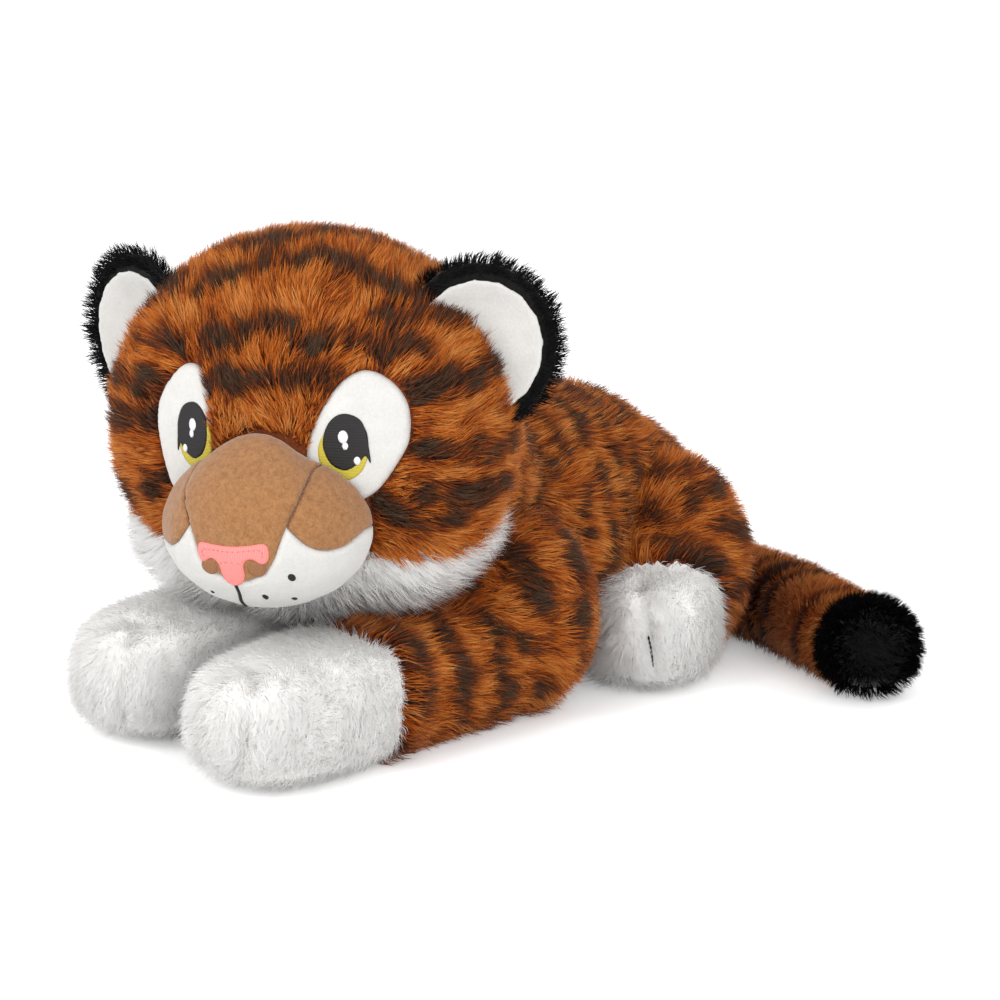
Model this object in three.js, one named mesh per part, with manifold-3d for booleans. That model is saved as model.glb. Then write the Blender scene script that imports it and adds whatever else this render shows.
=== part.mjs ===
// A plush tiger lying on its belly: sewn covers over separate stuffing, in millimetres, +Z up.
// It faces -Y, its own left side is +X, and its belly rests flat at the origin.
import * as THREE from "three";
import { mergeVertices } from "three/addons/utils/BufferGeometryUtils.js";
import Module from "manifold-3d";

const wasm = await Module();
wasm.setup();

// Cloth and clearances shared by every sewn piece
const cloth = {
  thickness: 3.2,
  seamGap: 0.3,
  stuffingGap: 0.4,
  jointGap: 0.7,
  swingGap: 1.3,
  restDepth: 0.5,
  overrun: 20,
};

// Body: a long bolster that drops to the rump, with a round shoulder dome under the head
const torso = {
  rumpY: 140,
  chestY: -84,
  backHeight: 116,
  halfWidth: 55,
  shoulderY: -38,
  chinZ: 45,
  restDepth: 1.2,
  heightShares: [0.42, 0.75, 0.98, 1.02, 0.92, 0.6],
  widthShares: [0.74, 0.94, 1, 1, 0.9, 0.7],
};
const neck = {
  y: -50,
  z: 92,
  domeRadius: 50,
  plugRadius: 19,
  plugFloorZ: 96,
  seamSetback: 20,
  seamTilt: 42,
};

// Head: a ball, a little flat in front, turned and tipped towards its left
const head = {
  y: -105,
  z: 127,
  halfWidth: 82,
  halfHeight: 77,
  front: 54,
  back: 76,
  turn: 21.5,
  tip: -3.5,
  ruffZ: -42,
  ruffRise: 8,
};
const muzzle = {
  y: -50,
  z: -28,
  halfWidth: 45,
  halfHeight: 34,
  front: 40,
  back: 26,
  ridgeTopZ: 9,
  ridgeTopY: -51,
  ridgeEndY: -87,
  ridgeEndZ: -23,
  ridgeHalfWidths: [17, 24, 28, 26],
  ridgeHalfHeight: 11,
};

// The face's outlines, as shares of the muzzle's half width and half height
const bridgeShares = [
  [0.57, 1.7], [0.55, 0.76], [0.54, 0.52], [0.45, 0.21], [0.4, 0.04], [0.35, -0.14], [0.25, -0.31],
  [0.09, -0.44], [0, -0.44],
];
const lobeShares = [
  [0.55, 0.76], [0.57, 1.25], [1.25, 1.2], [1.3, -0.05], [0.95, -0.02], [0.85, -0.11], [0.73, -0.13],
  [0.62, -0.04], [0.53, 0.08], [0.45, 0.21], [0.54, 0.52],
];
const noseShares = [
  [0, 0.02], [0.29, 0.04], [0.33, -0.04], [0.32, -0.16], [0.24, -0.19], [0.15, -0.15], [0.1, -0.22],
  [0.08, -0.36], [0.04, -0.46], [0, -0.46],
];
const nose = { thickness: 1.6 };

// Eyes: a white patch, with an olive iris, a black pupil and two white glints stitched on it
const eye = {
  x: 38,
  z: 7,
  patchHalfWidth: 18,
  patchHalfHeight: 26,
  patchLean: 8,
  irisX: 32.5,
  irisZ: 2,
  irisHalfWidth: 9.6,
  irisHalfHeight: 11.6,
  pupilRise: 4,
  pupilShare: 0.93,
  glintHalfHeight: 3.8,
  glintHalfWidth: 2.3,
  smallGlintRadius: 1.5,
  smallGlintX: 4.2,
  smallGlintZ: -6.4,
  patchThickness: 1.2,
  stitchThickness: 0.6,
};

// Ears: round cups on the sides of the head
const ear = {
  x: 70,
  y: 7,
  z: 34,
  radius: 33,
  sag: 8,
  backThickness: 3.2,
  liningThickness: 1.6,
  liningRadiusShare: 0.84,
  yaw: 30,
  heightShare: 1.06,
};

// Front legs: an upper arm that turns about its own upright axis, a forearm and a paw
const arm = {
  x: 45,
  y: -36,
  radius: 33,
  height: 84,
  swing: 15,
  forearmHalfWidths: [27, 27, 26, 26],
  forearmHalfHeights: [27, 27, 26, 26],
};
const frontPaw = {
  x: 41,
  leftY: -156,
  rightY: -139,
  halfWidth: 32,
  halfLength: 52,
  height: 54,
};

// Back legs: a round haunch with the foot turned out from under it
const haunch = {
  x: 43,
  y: 60,
  radius: 36,
  height: 88,
  swing: 12,
};
const hindFoot = {
  x: 60,
  y: 36,
  halfWidth: 28,
  halfLength: 36,
  height: 52,
  toeOut: 48,
};

// Tail: it lies along the floor to the animal's left and ends in a black tuft
const tail = {
  rootX: 8,
  rootY: 122,
  rootRadius: 19,
  swing: 30,
  halfThickness: 18,
  bendX: 50,
  bendY: 116,
  midX: 100,
  midY: 100,
  tipX: 142,
  tipY: 80,
  tipRadius: 21,
};

// How finely each kind of form is faceted
const facets = {
  torso: [20, 11],
  neck: [24, 12],
  head: [24, 13],
  turning: [16, 7],
  limb: [14, 7],
  tail: [12, 8],
  muzzle: [16, 9],
  bigCore: [12, 7],
  core: [9, 5],
};
const outlineSteps = 16;
const cupSteps = 3;
const swingSteps = 6;

// How squarely the forms close, where 2 is round
const roundPower = 2;
const footPower = 2.4;
const ridgePower = 2.4;
const bodyPower = 2.8;
const tubePower = 5;

// Distances below which points are one point, and facets one facet
const weldTolerance = cloth.seamGap / 3000;
const facetMerge = cloth.seamGap / 6;

const colours = {
  orange: 0xbe5f1e,
  black: 0x17130f,
  white: 0xebebe8,
  stuffing: 0xf2efe6,
  tan: 0xaa7d55,
  pink: 0xf0827d,
  olive: 0xb9aa32,
};

// Turning of plain geometry into solids that can be joined and cut
function toSolid(geometry) {
  const bare = geometry.clone();
  bare.deleteAttribute("normal");
  bare.deleteAttribute("uv");
  const merged = mergeVertices(bare, weldTolerance);
  const points = merged.attributes.position;
  const indices = [];
  for (let i = 0; i < merged.index.count; i += 3) {
    const [a, b, c] = [0, 1, 2].map((k) => merged.index.getX(i + k));
    if (a !== b && b !== c && c !== a) indices.push(a, b, c);
  }
  if (signedVolume(points, indices) < 0) indices.reverse();
  return new wasm.Manifold(
    new wasm.Mesh({
      numProp: 3,
      vertProperties: new Float32Array(points.array),
      triVerts: new Uint32Array(indices),
    }),
  );
}

function signedVolume(points, indices) {
  const corner = (i) => new THREE.Vector3().fromBufferAttribute(points, indices[i]);
  let total = 0;
  for (let i = 0; i < indices.length; i += 3) {
    total += corner(i).dot(corner(i + 1).cross(corner(i + 2)));
  }
  return total;
}

function toGeometry(solid) {
  const mesh = solid.getMesh();
  const geometry = new THREE.BufferGeometry();
  geometry.setAttribute("position", new THREE.BufferAttribute(new Float32Array(mesh.vertProperties), 3));
  geometry.setIndex(new THREE.BufferAttribute(new Uint32Array(mesh.triVerts), 1));
  geometry.computeVertexNormals();
  return geometry;
}

const joinAll = (solids) => solids.reduce((sum, solid) => sum.add(solid));
const cutAll = (solid, cutters) => cutters.reduce((rest, cutter) => rest.subtract(cutter), solid);

// A cut can leave loose slivers behind: the piece is the biggest body
function biggest(solid) {
  const bodies = solid.simplify(facetMerge).decompose();
  return bodies.sort((a, b) => b.volume() - a.volume())[0];
}

// A closed ball-like form, with its own reach to each side; inset makes the parallel inner surface
function ovoid(form, inset, [around, along]) {
  const { at, halfWidth, halfHeight, front, back, yaw = 0, power = roundPower } = form;
  const geometry = new THREE.SphereGeometry(1, around, along);
  geometry.rotateX(Math.PI / 2);
  const points = geometry.attributes.position;
  const point = new THREE.Vector3();
  for (let i = 0; i < points.count; i++) {
    point.fromBufferAttribute(points, i);
    const powers = point.toArray().map((value) => Math.abs(value) ** power);
    const norm = (powers[0] + powers[1] + powers[2]) ** (1 / power);
    const reach = point.y < 0 ? front : back;
    const size = new THREE.Vector3(halfWidth - inset, reach - inset, halfHeight - inset);
    point.divideScalar(norm).multiply(size);
    points.setXYZ(i, point.x, point.y, point.z);
  }
  geometry.rotateZ(THREE.MathUtils.degToRad(yaw));
  geometry.translate(at.x, at.y, at.z);
  return toSolid(geometry);
}

// A limb that swells and tapers along a smooth spine and closes with blunt round ends.
// A resting limb's sections stand upright, with their undersides in one level
function limb({ spine, halfWidths, halfHeights, power, restDepth = null }, inset, [around, along]) {
  const curve = new THREE.CatmullRomCurve3(spine);
  const geometry = new THREE.SphereGeometry(1, around, along);
  const points = geometry.attributes.position;
  const up = new THREE.Vector3(0, 0, 1);
  const squared = (value) => Math.sign(value) * Math.abs(value) ** (roundPower / power);
  for (let i = 0; i < points.count; i++) {
    const unit = new THREE.Vector3().fromBufferAttribute(points, i);
    const ring = Math.hypot(unit.x, unit.z);
    const share = (1 - squared(unit.y)) / 2;
    const reach = ring === 0 ? 0 : squared(ring) / ring;
    const tangent = curve.getTangentAt(share);
    const side = new THREE.Vector3().crossVectors(up, tangent).normalize();
    const place = curve.getPointAt(share);
    let lift = new THREE.Vector3().crossVectors(tangent, side);
    if (restDepth !== null) {
      tangent.setZ(0).normalize();
      lift = up;
      place.z = between(halfHeights, share) - restDepth;
    }
    place.addScaledVector(tangent, inset * (1 - 2 * share));
    place.addScaledVector(side, (between(halfWidths, share) - inset) * unit.x * reach);
    place.addScaledVector(lift, (between(halfHeights, share) - inset) * unit.z * reach);
    points.setXYZ(i, place.x, place.y, place.z);
  }
  return toSolid(geometry);
}

// A smooth value along a list of evenly spaced sizes
function between(sizes, share) {
  const line = new THREE.SplineCurve(sizes.map((size, i) => new THREE.Vector2(i, size)));
  return line.getPoint(share).y;
}

// A wide block that keeps what lies above the floor
function blockAboveFloor() {
  const reach = 2 * (torso.rumpY - torso.chestY + head.halfWidth);
  const geometry = new THREE.BoxGeometry(reach, reach, reach);
  geometry.translate(0, 0, reach / 2);
  return toSolid(geometry);
}
const aboveFloor = blockAboveFloor();

// A prism through the head along the face's line of sight
function facePrism(outline) {
  const shape = new THREE.Shape(outline.map(([x, z]) => new THREE.Vector2(x, z)));
  const depth = head.front + muzzle.front;
  const geometry = new THREE.ExtrudeGeometry(shape, { depth, bevelEnabled: false });
  geometry.rotateX(Math.PI / 2);
  return toSolid(geometry);
}

function oval({ x, z, halfWidth, halfHeight, lean = 0 }) {
  const turn = THREE.MathUtils.degToRad(lean);
  return Array.from({ length: outlineSteps }, (_, i) => {
    const angle = (2 * Math.PI * i) / outlineSteps;
    const point = new THREE.Vector2(halfWidth * Math.cos(angle), halfHeight * Math.sin(angle));
    point.rotateAround(new THREE.Vector2(), turn);
    return [x + point.x, z + point.y];
  });
}

// An outline given on one side as shares of the muzzle, in millimetres, smoothed or mirrored
const muzzlePoint = ([x, z]) => [x * muzzle.halfWidth, muzzle.z + z * muzzle.halfHeight];
const sideOutline = (shares, side) => shares.map(muzzlePoint).map(([x, z]) => [side * x, z]);
const bothSides = (shares) => [
  ...sideOutline(shares, 1),
  ...sideOutline(shares, -1).reverse().filter(([x]) => x !== 0),
];

// The same outline moved outwards by a distance, for the gap at a seam
function grown(outline, distance) {
  const turning = outline.reduce((sum, [x, z], i) => {
    const [nextX, nextZ] = outline[(i + 1) % outline.length];
    return sum + x * nextZ - nextX * z;
  }, 0);
  return outline.map(([x, z], i) => {
    const [beforeX, beforeZ] = outline[(i + outline.length - 1) % outline.length];
    const [afterX, afterZ] = outline[(i + 1) % outline.length];
    const along = new THREE.Vector2(afterX - beforeX, afterZ - beforeZ).normalize();
    const way = Math.sign(turning) * distance;
    return [x + along.y * way, z - along.x * way];
  });
}

const pieces = new THREE.Group();
function addPiece(parent, name, solid, colour) {
  const material = new THREE.MeshStandardMaterial({ color: colour, roughness: 0.95, metalness: 0 });
  const mesh = new THREE.Mesh(toGeometry(biggest(solid)), material);
  mesh.name = name;
  parent.add(mesh);
}

// A row of forms sewn into one limb: a cover for each, the first uncut, and one stuffing
function sewLimb(forms, cutters) {
  const inners = forms.map((form) => form(cloth.thickness, facets.core));
  const covers = forms.map((form, i) => {
    const earlier = forms.slice(0, i).map((other) => other(-cloth.seamGap));
    return cutAll(form(0), [...earlier, ...inners, ...cutters]).intersect(aboveFloor);
  });
  const stuffing = joinAll(forms.map((form) => form(cloth.thickness + cloth.stuffingGap, facets.core)));
  return { covers, stuffing: cutAll(stuffing, cutters) };
}

// A resting form reaches a little below the floor, where it is cut flat
const restingCentre = (height) => (height - cloth.restDepth) / 2;
const restingHalf = (height) => (height + cloth.restDepth) / 2;

// Body
const torsoForm = (inset, detail = facets.torso) => {
  const spine = torso.heightShares.map((_, i) => {
    const y = THREE.MathUtils.lerp(torso.rumpY, torso.chestY, i / (torso.heightShares.length - 1));
    return new THREE.Vector3(0, y, 0);
  });
  const halfHeights = torso.heightShares.map((share) => (share * torso.backHeight + torso.restDepth) / 2);
  const halfWidths = torso.widthShares.map((share) => share * torso.halfWidth);
  const form = { spine, halfWidths, halfHeights, power: bodyPower, restDepth: torso.restDepth };
  return limb(form, inset, detail);
};
const neckBall = (inset, detail = facets.neck, yaw = 0) => {
  const radius = neck.domeRadius;
  const at = { x: 0, y: neck.y, z: neck.z };
  const form = { at, halfWidth: radius, halfHeight: radius, front: radius, back: radius, yaw };
  return ovoid(form, inset, detail);
};

// The space that the head keeps clear of: its flats clear the dome's edges, which lie against their middles
const neckSpace = () => {
  const [around, along] = facets.neck;
  const swell = 1 / (Math.cos(Math.PI / around) * Math.cos(Math.PI / (2 * along)));
  const reach = (neck.domeRadius + cloth.seamGap) * swell;
  return neckBall(neck.domeRadius - reach, facets.neck, 180 / around);
};

// The firm neck wad: round about the upright neck axis, with the dome's own top
function upright(profile, { x, y }) {
  const points = profile.map(([r, z]) => new THREE.Vector2(r, z));
  const geometry = new THREE.LatheGeometry(points, outlineSteps);
  geometry.rotateX(Math.PI / 2);
  geometry.translate(x, y, 0);
  return toSolid(geometry);
}
const neckPost = (radius, floorZ) => {
  const topZ = neck.z + neck.domeRadius + cloth.overrun;
  return upright([[0, floorZ], [radius, floorZ], [radius, topZ], [0, topZ]], { x: 0, y: neck.y });
};

// Legs
// A form that is round about an upright axis through its middle, so it can turn in a hollow
const turningForm = ({ x, y, radius, height }, side) => (inset, detail = facets.turning, yaw = 0) =>
  ovoid(
    {
      at: { x: side * x, y, z: restingCentre(height) },
      halfWidth: radius,
      halfHeight: restingHalf(height),
      front: radius,
      back: radius,
      yaw,
    },
    inset,
    detail,
  );

// The hollow it turns in: its flats clear the form's edges, which lie against their middles,
// and below the middle it runs straight down, so that what the form carries turns freely too
const turningSpace = (place, side, gap = cloth.jointGap) => {
  const [around] = facets.turning;
  const edge = place.radius * (1 / Math.cos(Math.PI / around) - 1);
  const clear = gap + edge;
  const dome = turningForm(place, side)(-clear, facets.turning, 180 / around);
  const middle = restingCentre(place.height);
  const reach = place.radius + clear;
  const well = new THREE.CylinderGeometry(reach, reach, middle + cloth.overrun, around);
  well.rotateX(Math.PI / 2);
  well.rotateZ(THREE.MathUtils.degToRad(90 + 180 / around));
  well.translate(side * place.x, place.y, (middle - cloth.overrun) / 2);
  return dome.add(toSolid(well));
};
const armForm = (side) => turningForm(arm, side);
const pawY = (side) => (side > 0 ? frontPaw.leftY : frontPaw.rightY);
const pawForm = (side) => (inset, detail = facets.limb) =>
  ovoid(
    {
      at: { x: side * frontPaw.x, y: pawY(side), z: restingCentre(frontPaw.height) },
      halfWidth: frontPaw.halfWidth,
      halfHeight: restingHalf(frontPaw.height),
      front: frontPaw.halfLength,
      back: frontPaw.halfLength,
      power: footPower,
    },
    inset,
    detail,
  );
const forearmForm = (side) => (inset, detail = facets.limb) => {
  const lift = arm.forearmHalfHeights.map((half) => half - cloth.restDepth);
  const shares = lift.map((_, i) => i / (lift.length - 1));
  const spine = shares.map((share, i) => {
    const x = THREE.MathUtils.lerp(arm.x, frontPaw.x, share);
    return new THREE.Vector3(side * x, THREE.MathUtils.lerp(arm.y, pawY(side), share), lift[i]);
  });
  const halfWidths = arm.forearmHalfWidths;
  return limb({ spine, halfWidths, halfHeights: arm.forearmHalfHeights, power: tubePower }, inset, detail);
};
const haunchForm = (side) => turningForm(haunch, side);
const hindFootForm = (side) => (inset, detail = facets.limb) =>
  ovoid(
    {
      at: { x: side * hindFoot.x, y: hindFoot.y, z: restingCentre(hindFoot.height) },
      halfWidth: hindFoot.halfWidth,
      halfHeight: restingHalf(hindFoot.height),
      front: hindFoot.halfLength,
      back: hindFoot.halfLength,
      yaw: side * hindFoot.toeOut,
      power: footPower,
    },
    inset,
    detail,
  );

// Tail
const tailLift = tail.halfThickness - cloth.restDepth;
const tailForm = (inset, detail = facets.tail) => {
  const spine = [
    [tail.rootX, tail.rootY], [tail.bendX, tail.bendY], [tail.midX, tail.midY], [tail.tipX, tail.tipY],
  ].map(([x, y]) => new THREE.Vector3(x, y, tailLift));
  const sizes = [tail.rootRadius, tail.halfThickness, tail.halfThickness, tail.halfThickness];
  const halfHeights = sizes.map(() => tail.halfThickness);
  return limb({ spine, halfWidths: sizes, halfHeights, power: tubePower }, inset, detail);
};
const tailRoot = {
  x: tail.rootX,
  y: tail.rootY,
  radius: tail.rootRadius,
  height: 2 * tail.rootRadius - cloth.restDepth,
  swing: tail.swing,
};
const tailRootForm = turningForm(tailRoot, 1);
const tailTipForm = (inset, detail = facets.limb) =>
  ovoid(
    {
      at: { x: tail.tipX, y: tail.tipY, z: tail.tipRadius - cloth.restDepth },
      halfWidth: tail.tipRadius,
      halfHeight: tail.tipRadius,
      front: tail.tipRadius,
      back: tail.tipRadius,
    },
    inset,
    detail,
  );

// Body pieces: the body is hollowed where the legs and the tail turn in it
const sides = [["left", 1], ["right", -1]];
const turningSpaces = [
  ...sides.flatMap(([, side]) => [turningSpace(arm, side), turningSpace(haunch, side)]),
  turningSpace(tailRoot, 1),
];

// Room for the chin: in front of the shoulders the body stays low, apart from the dome
const chinSpace = (inset) => {
  const reach = 2 * head.halfWidth;
  const geometry = new THREE.BoxGeometry(reach, reach, reach);
  geometry.translate(0, torso.shoulderY + inset - reach / 2, torso.chinZ - inset + reach / 2);
  return toSolid(geometry);
};
const bodyForm = (inset, detail) =>
  torsoForm(inset, detail).subtract(chinSpace(inset)).add(neckBall(inset, detail));
const neckSeam = (setback) => {
  const reach = 2 * head.halfWidth;
  const geometry = new THREE.BoxGeometry(reach, reach, reach);
  geometry.translate(0, -setback - reach / 2, 0);
  geometry.rotateX(THREE.MathUtils.degToRad(-neck.seamTilt));
  geometry.translate(0, neck.y, neck.z);
  return toSolid(geometry);
};
const neckHole = neckPost(neck.plugRadius + cloth.jointGap, neck.plugFloorZ);
addPiece(
  pieces,
  "torso_cover",
  cutAll(bodyForm(0), [
    bodyForm(cloth.thickness, facets.bigCore),
    ...turningSpaces,
    neckHole,
    neckSeam(neck.seamSetback),
  ]).intersect(aboveFloor),
  colours.orange,
);
addPiece(
  pieces,
  "torso_stuffing",
  cutAll(bodyForm(cloth.thickness + cloth.stuffingGap, facets.bigCore), [...turningSpaces, neckHole]),
  colours.stuffing,
);
addPiece(
  pieces,
  "neck_stuffing",
  neckPost(neck.plugRadius, neck.plugFloorZ + cloth.seamGap).intersect(neckBall(0)),
  colours.stuffing,
);

// What a swinging limb keeps clear of: the body, as the limb sees it through its swing
const torsoSpace = torsoForm(-cloth.swingGap);
const swungBody = (place, side) => {
  const rest = torsoSpace.subtract(turningSpace(place, side, cloth.jointGap - cloth.seamGap));
  return Array.from({ length: swingSteps + 1 }, (_, i) => {
    const swing = (-side * place.swing * i) / swingSteps;
    return rest
      .translate([-side * place.x, -place.y, 0])
      .rotate([0, 0, swing])
      .translate([side * place.x, place.y, 0]);
  });
};

// Leg pieces
for (const [name, side] of sides) {
  const front = sewLimb([pawForm(side), armForm(side), forearmForm(side)], swungBody(arm, side));
  const frontNames = [`forepaw_cover_${name}`, `shoulder_cover_${name}`, `foreleg_cover_${name}`];
  const frontColours = [colours.white, colours.orange, colours.orange];
  front.covers.forEach((cover, i) => addPiece(pieces, frontNames[i], cover, frontColours[i]));
  addPiece(pieces, `foreleg_stuffing_${name}`, front.stuffing, colours.stuffing);

  const hind = sewLimb([haunchForm(side), hindFootForm(side)], swungBody(haunch, side));
  addPiece(pieces, `haunch_cover_${name}`, hind.covers[0], colours.orange);
  addPiece(pieces, `hindfoot_cover_${name}`, hind.covers[1], colours.white);
  addPiece(pieces, `hindleg_stuffing_${name}`, hind.stuffing, colours.stuffing);
}

// Tail pieces
const tailBody = (inset, detail) => tailForm(inset, detail).add(tailRootForm(inset, detail));
const tailSewn = sewLimb([tailTipForm, tailBody], swungBody(tailRoot, 1));
addPiece(pieces, "tail_tip_cover", tailSewn.covers[0], colours.black);
addPiece(pieces, "tail_cover", tailSewn.covers[1], colours.orange);
addPiece(pieces, "tail_stuffing", tailSewn.stuffing, colours.stuffing);

// Head pieces, in the head's own frame, which is turned and tipped as a whole
const headGroup = new THREE.Group();
headGroup.position.set(0, head.y, head.z);
headGroup.rotation.set(0, THREE.MathUtils.degToRad(head.tip), THREE.MathUtils.degToRad(head.turn), "ZYX");
headGroup.updateMatrixWorld(true);
pieces.add(headGroup);
const intoHead = new THREE.Matrix4().copy(headGroup.matrixWorld).invert();
const neckSpaceInHead = neckSpace().transform([...intoHead.elements]);

const headForm = (inset, detail = facets.head) =>
  ovoid(
    {
      at: new THREE.Vector3(),
      halfWidth: head.halfWidth,
      halfHeight: head.halfHeight,
      front: head.front,
      back: head.back,
    },
    inset,
    detail,
  );
const ruffSpace = (gap) => {
  const reach = 2 * (head.halfWidth + cloth.overrun);
  const geometry = new THREE.BoxGeometry(reach, reach, reach);
  geometry.translate(0, 0, -reach / 2 + gap);
  geometry.rotateX(THREE.MathUtils.degToRad(head.ruffRise));
  geometry.translate(0, 0, head.ruffZ);
  return toSolid(geometry);
};
const headSkin = cutAll(headForm(0), [headForm(cloth.thickness, facets.bigCore), neckSpaceInHead]);
const headCore = headForm(cloth.thickness + cloth.stuffingGap, facets.bigCore);
const headStuffing = headCore.subtract(neckSpaceInHead);
addPiece(headGroup, "head_cover", headSkin.subtract(ruffSpace(cloth.seamGap)), colours.orange);
addPiece(headGroup, "ruff_cover", headSkin.intersect(ruffSpace(0)), colours.white);
addPiece(headGroup, "head_stuffing", headStuffing, colours.stuffing);

// Muzzle: one swelling form with a ridge up to the brow, its cover sewn from four panels
const muzzleBall = (inset, detail) =>
  ovoid(
    {
      at: { x: 0, y: muzzle.y, z: muzzle.z },
      halfWidth: muzzle.halfWidth,
      halfHeight: muzzle.halfHeight,
      front: muzzle.front,
      back: muzzle.back,
    },
    inset,
    detail,
  );
const muzzleRidge = (inset, detail) => {
  const spine = [
    new THREE.Vector3(0, muzzle.ridgeTopY, muzzle.ridgeTopZ),
    new THREE.Vector3(0, muzzle.ridgeEndY, muzzle.ridgeEndZ),
  ];
  const halfHeights = muzzle.ridgeHalfWidths.map(() => muzzle.ridgeHalfHeight);
  const form = { spine, halfWidths: muzzle.ridgeHalfWidths, halfHeights, power: ridgePower };
  return limb(form, inset, detail);
};
const muzzleForm = (inset, detail = facets.muzzle) =>
  muzzleBall(inset, detail).add(muzzleRidge(inset, detail));
const headSpace = headForm(-cloth.seamGap);
const muzzleSkin = cutAll(muzzleForm(0), [muzzleForm(cloth.thickness, facets.core), headSpace]);
const bridgeOutline = bothSides(bridgeShares);
addPiece(headGroup, "muzzle_bridge", muzzleSkin.intersect(facePrism(bridgeOutline)), colours.tan);
const bridgeSpace = facePrism(grown(bridgeOutline, cloth.seamGap));
for (const [name, side] of sides) {
  const lobe = facePrism(sideOutline(lobeShares, side)).subtract(bridgeSpace);
  addPiece(headGroup, `muzzle_lobe_${name}`, muzzleSkin.intersect(lobe), colours.tan);
}
const lobeSpaces = sides.map(([, side]) => facePrism(grown(sideOutline(lobeShares, side), cloth.seamGap)));
addPiece(headGroup, "muzzle_lower", cutAll(muzzleSkin, [bridgeSpace, ...lobeSpaces]), colours.white);
const muzzleCore = muzzleForm(cloth.thickness + cloth.stuffingGap, facets.core).subtract(headSpace);
addPiece(headGroup, "muzzle_stuffing", muzzleCore, colours.stuffing);

// A layer that lies on a form between two heights above it, inside an outline
const layer = (form, low, high, outline) => form(-high).subtract(form(-low)).intersect(facePrism(outline));
const noseOutline = bothSides(noseShares);
const noseLayer = layer(muzzleForm, cloth.seamGap, cloth.seamGap + nose.thickness, noseOutline);
addPiece(headGroup, "nose_patch", noseLayer, colours.pink);

// Eyes
const muzzleSpace = muzzleForm(-cloth.seamGap);
for (const [name, side] of sides) {
  let base = cloth.seamGap;
  const stitch = (part, outline, thickness, colour, cuts = []) => {
    const block = layer(headForm, base, base + thickness, outline);
    addPiece(headGroup, `${part}_${name}`, cutAll(block, [muzzleSpace, ...cuts]), colour);
    base += thickness + cloth.seamGap;
  };
  const patch = {
    x: side * eye.x,
    z: eye.z,
    halfWidth: eye.patchHalfWidth,
    halfHeight: eye.patchHalfHeight,
    lean: -side * eye.patchLean,
  };
  stitch("eye_patch", oval(patch), eye.patchThickness, colours.white);
  const irisSize = { halfWidth: eye.irisHalfWidth, halfHeight: eye.irisHalfHeight };
  const iris = { x: side * eye.irisX, z: eye.irisZ, ...irisSize };
  const pupil = {
    x: iris.x,
    z: iris.z + eye.pupilRise,
    halfWidth: iris.halfWidth * eye.pupilShare,
    halfHeight: iris.halfHeight * eye.pupilShare,
  };
  // The iris is the crescent that shows below the pupil, and both are stitched on the patch
  const irisBase = base;
  const pupilSpace = facePrism(grown(oval(pupil), cloth.seamGap));
  stitch("iris", oval(iris), eye.stitchThickness, colours.olive, [pupilSpace]);
  base = irisBase;
  stitch("pupil", oval(pupil), eye.stitchThickness, colours.black);
  const glint = { x: pupil.x, z: pupil.z, halfWidth: eye.glintHalfWidth, halfHeight: eye.glintHalfHeight };
  const glintBase = base;
  stitch("eye_glint", oval(glint), eye.stitchThickness, colours.white);
  base = glintBase;
  const spark = { x: pupil.x + side * eye.smallGlintX, z: pupil.z + eye.smallGlintZ };
  const sparkSize = { halfWidth: eye.smallGlintRadius, halfHeight: eye.smallGlintRadius };
  stitch("eye_spark", oval({ ...spark, ...sparkSize }), eye.stitchThickness, colours.white);
}

// Ears: shallow cups that face forwards and out, each with a smooth lining
function cup(radius, depth, low, high) {
  const bowl = (radius ** 2 + depth ** 2) / (2 * depth);
  const rimAngle = Math.asin(radius / bowl);
  const arc = (shell) =>
    Array.from({ length: cupSteps + 1 }, (_, i) => {
      const angle = (rimAngle * i) / cupSteps;
      return [(bowl + shell) * Math.sin(angle), (bowl + shell) * Math.cos(angle) - bowl];
    });
  const profile = [...arc(high), ...arc(low).reverse()];
  return new THREE.LatheGeometry(profile.map(([r, y]) => new THREE.Vector2(r, y)), outlineSteps);
}
function earSolid(side, radius, low, high) {
  const geometry = cup(radius, ear.sag, low, high);
  geometry.scale(1, 1, ear.heightShare);
  geometry.rotateZ(THREE.MathUtils.degToRad(side * ear.yaw));
  geometry.translate(side * ear.x, ear.y, ear.z);
  return toSolid(geometry);
}
for (const [name, side] of sides) {
  const back = earSolid(side, ear.radius, 0, ear.backThickness).subtract(headSpace);
  addPiece(headGroup, `ear_back_${name}`, back, colours.black);
  const liningRadius = ear.radius * ear.liningRadiusShare;
  const lining = earSolid(side, liningRadius, -cloth.seamGap - ear.liningThickness, -cloth.seamGap);
  addPiece(headGroup, `ear_lining_${name}`, lining.subtract(headSpace), colours.white);
}

export default pieces;
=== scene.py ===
"""A plush tiger lying on its belly: stuffed skins, long-pile fur cloth and a stitched face."""
import logging
import math
from dataclasses import dataclass, field
from enum import Enum
from typing import Callable, Sequence

import bpy
import numpy as np
from mathutils import Matrix, Vector
from mathutils.bvhtree import BVHTree
from mathutils.geometry import delaunay_2d_cdt
from mathutils.kdtree import KDTree


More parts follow.
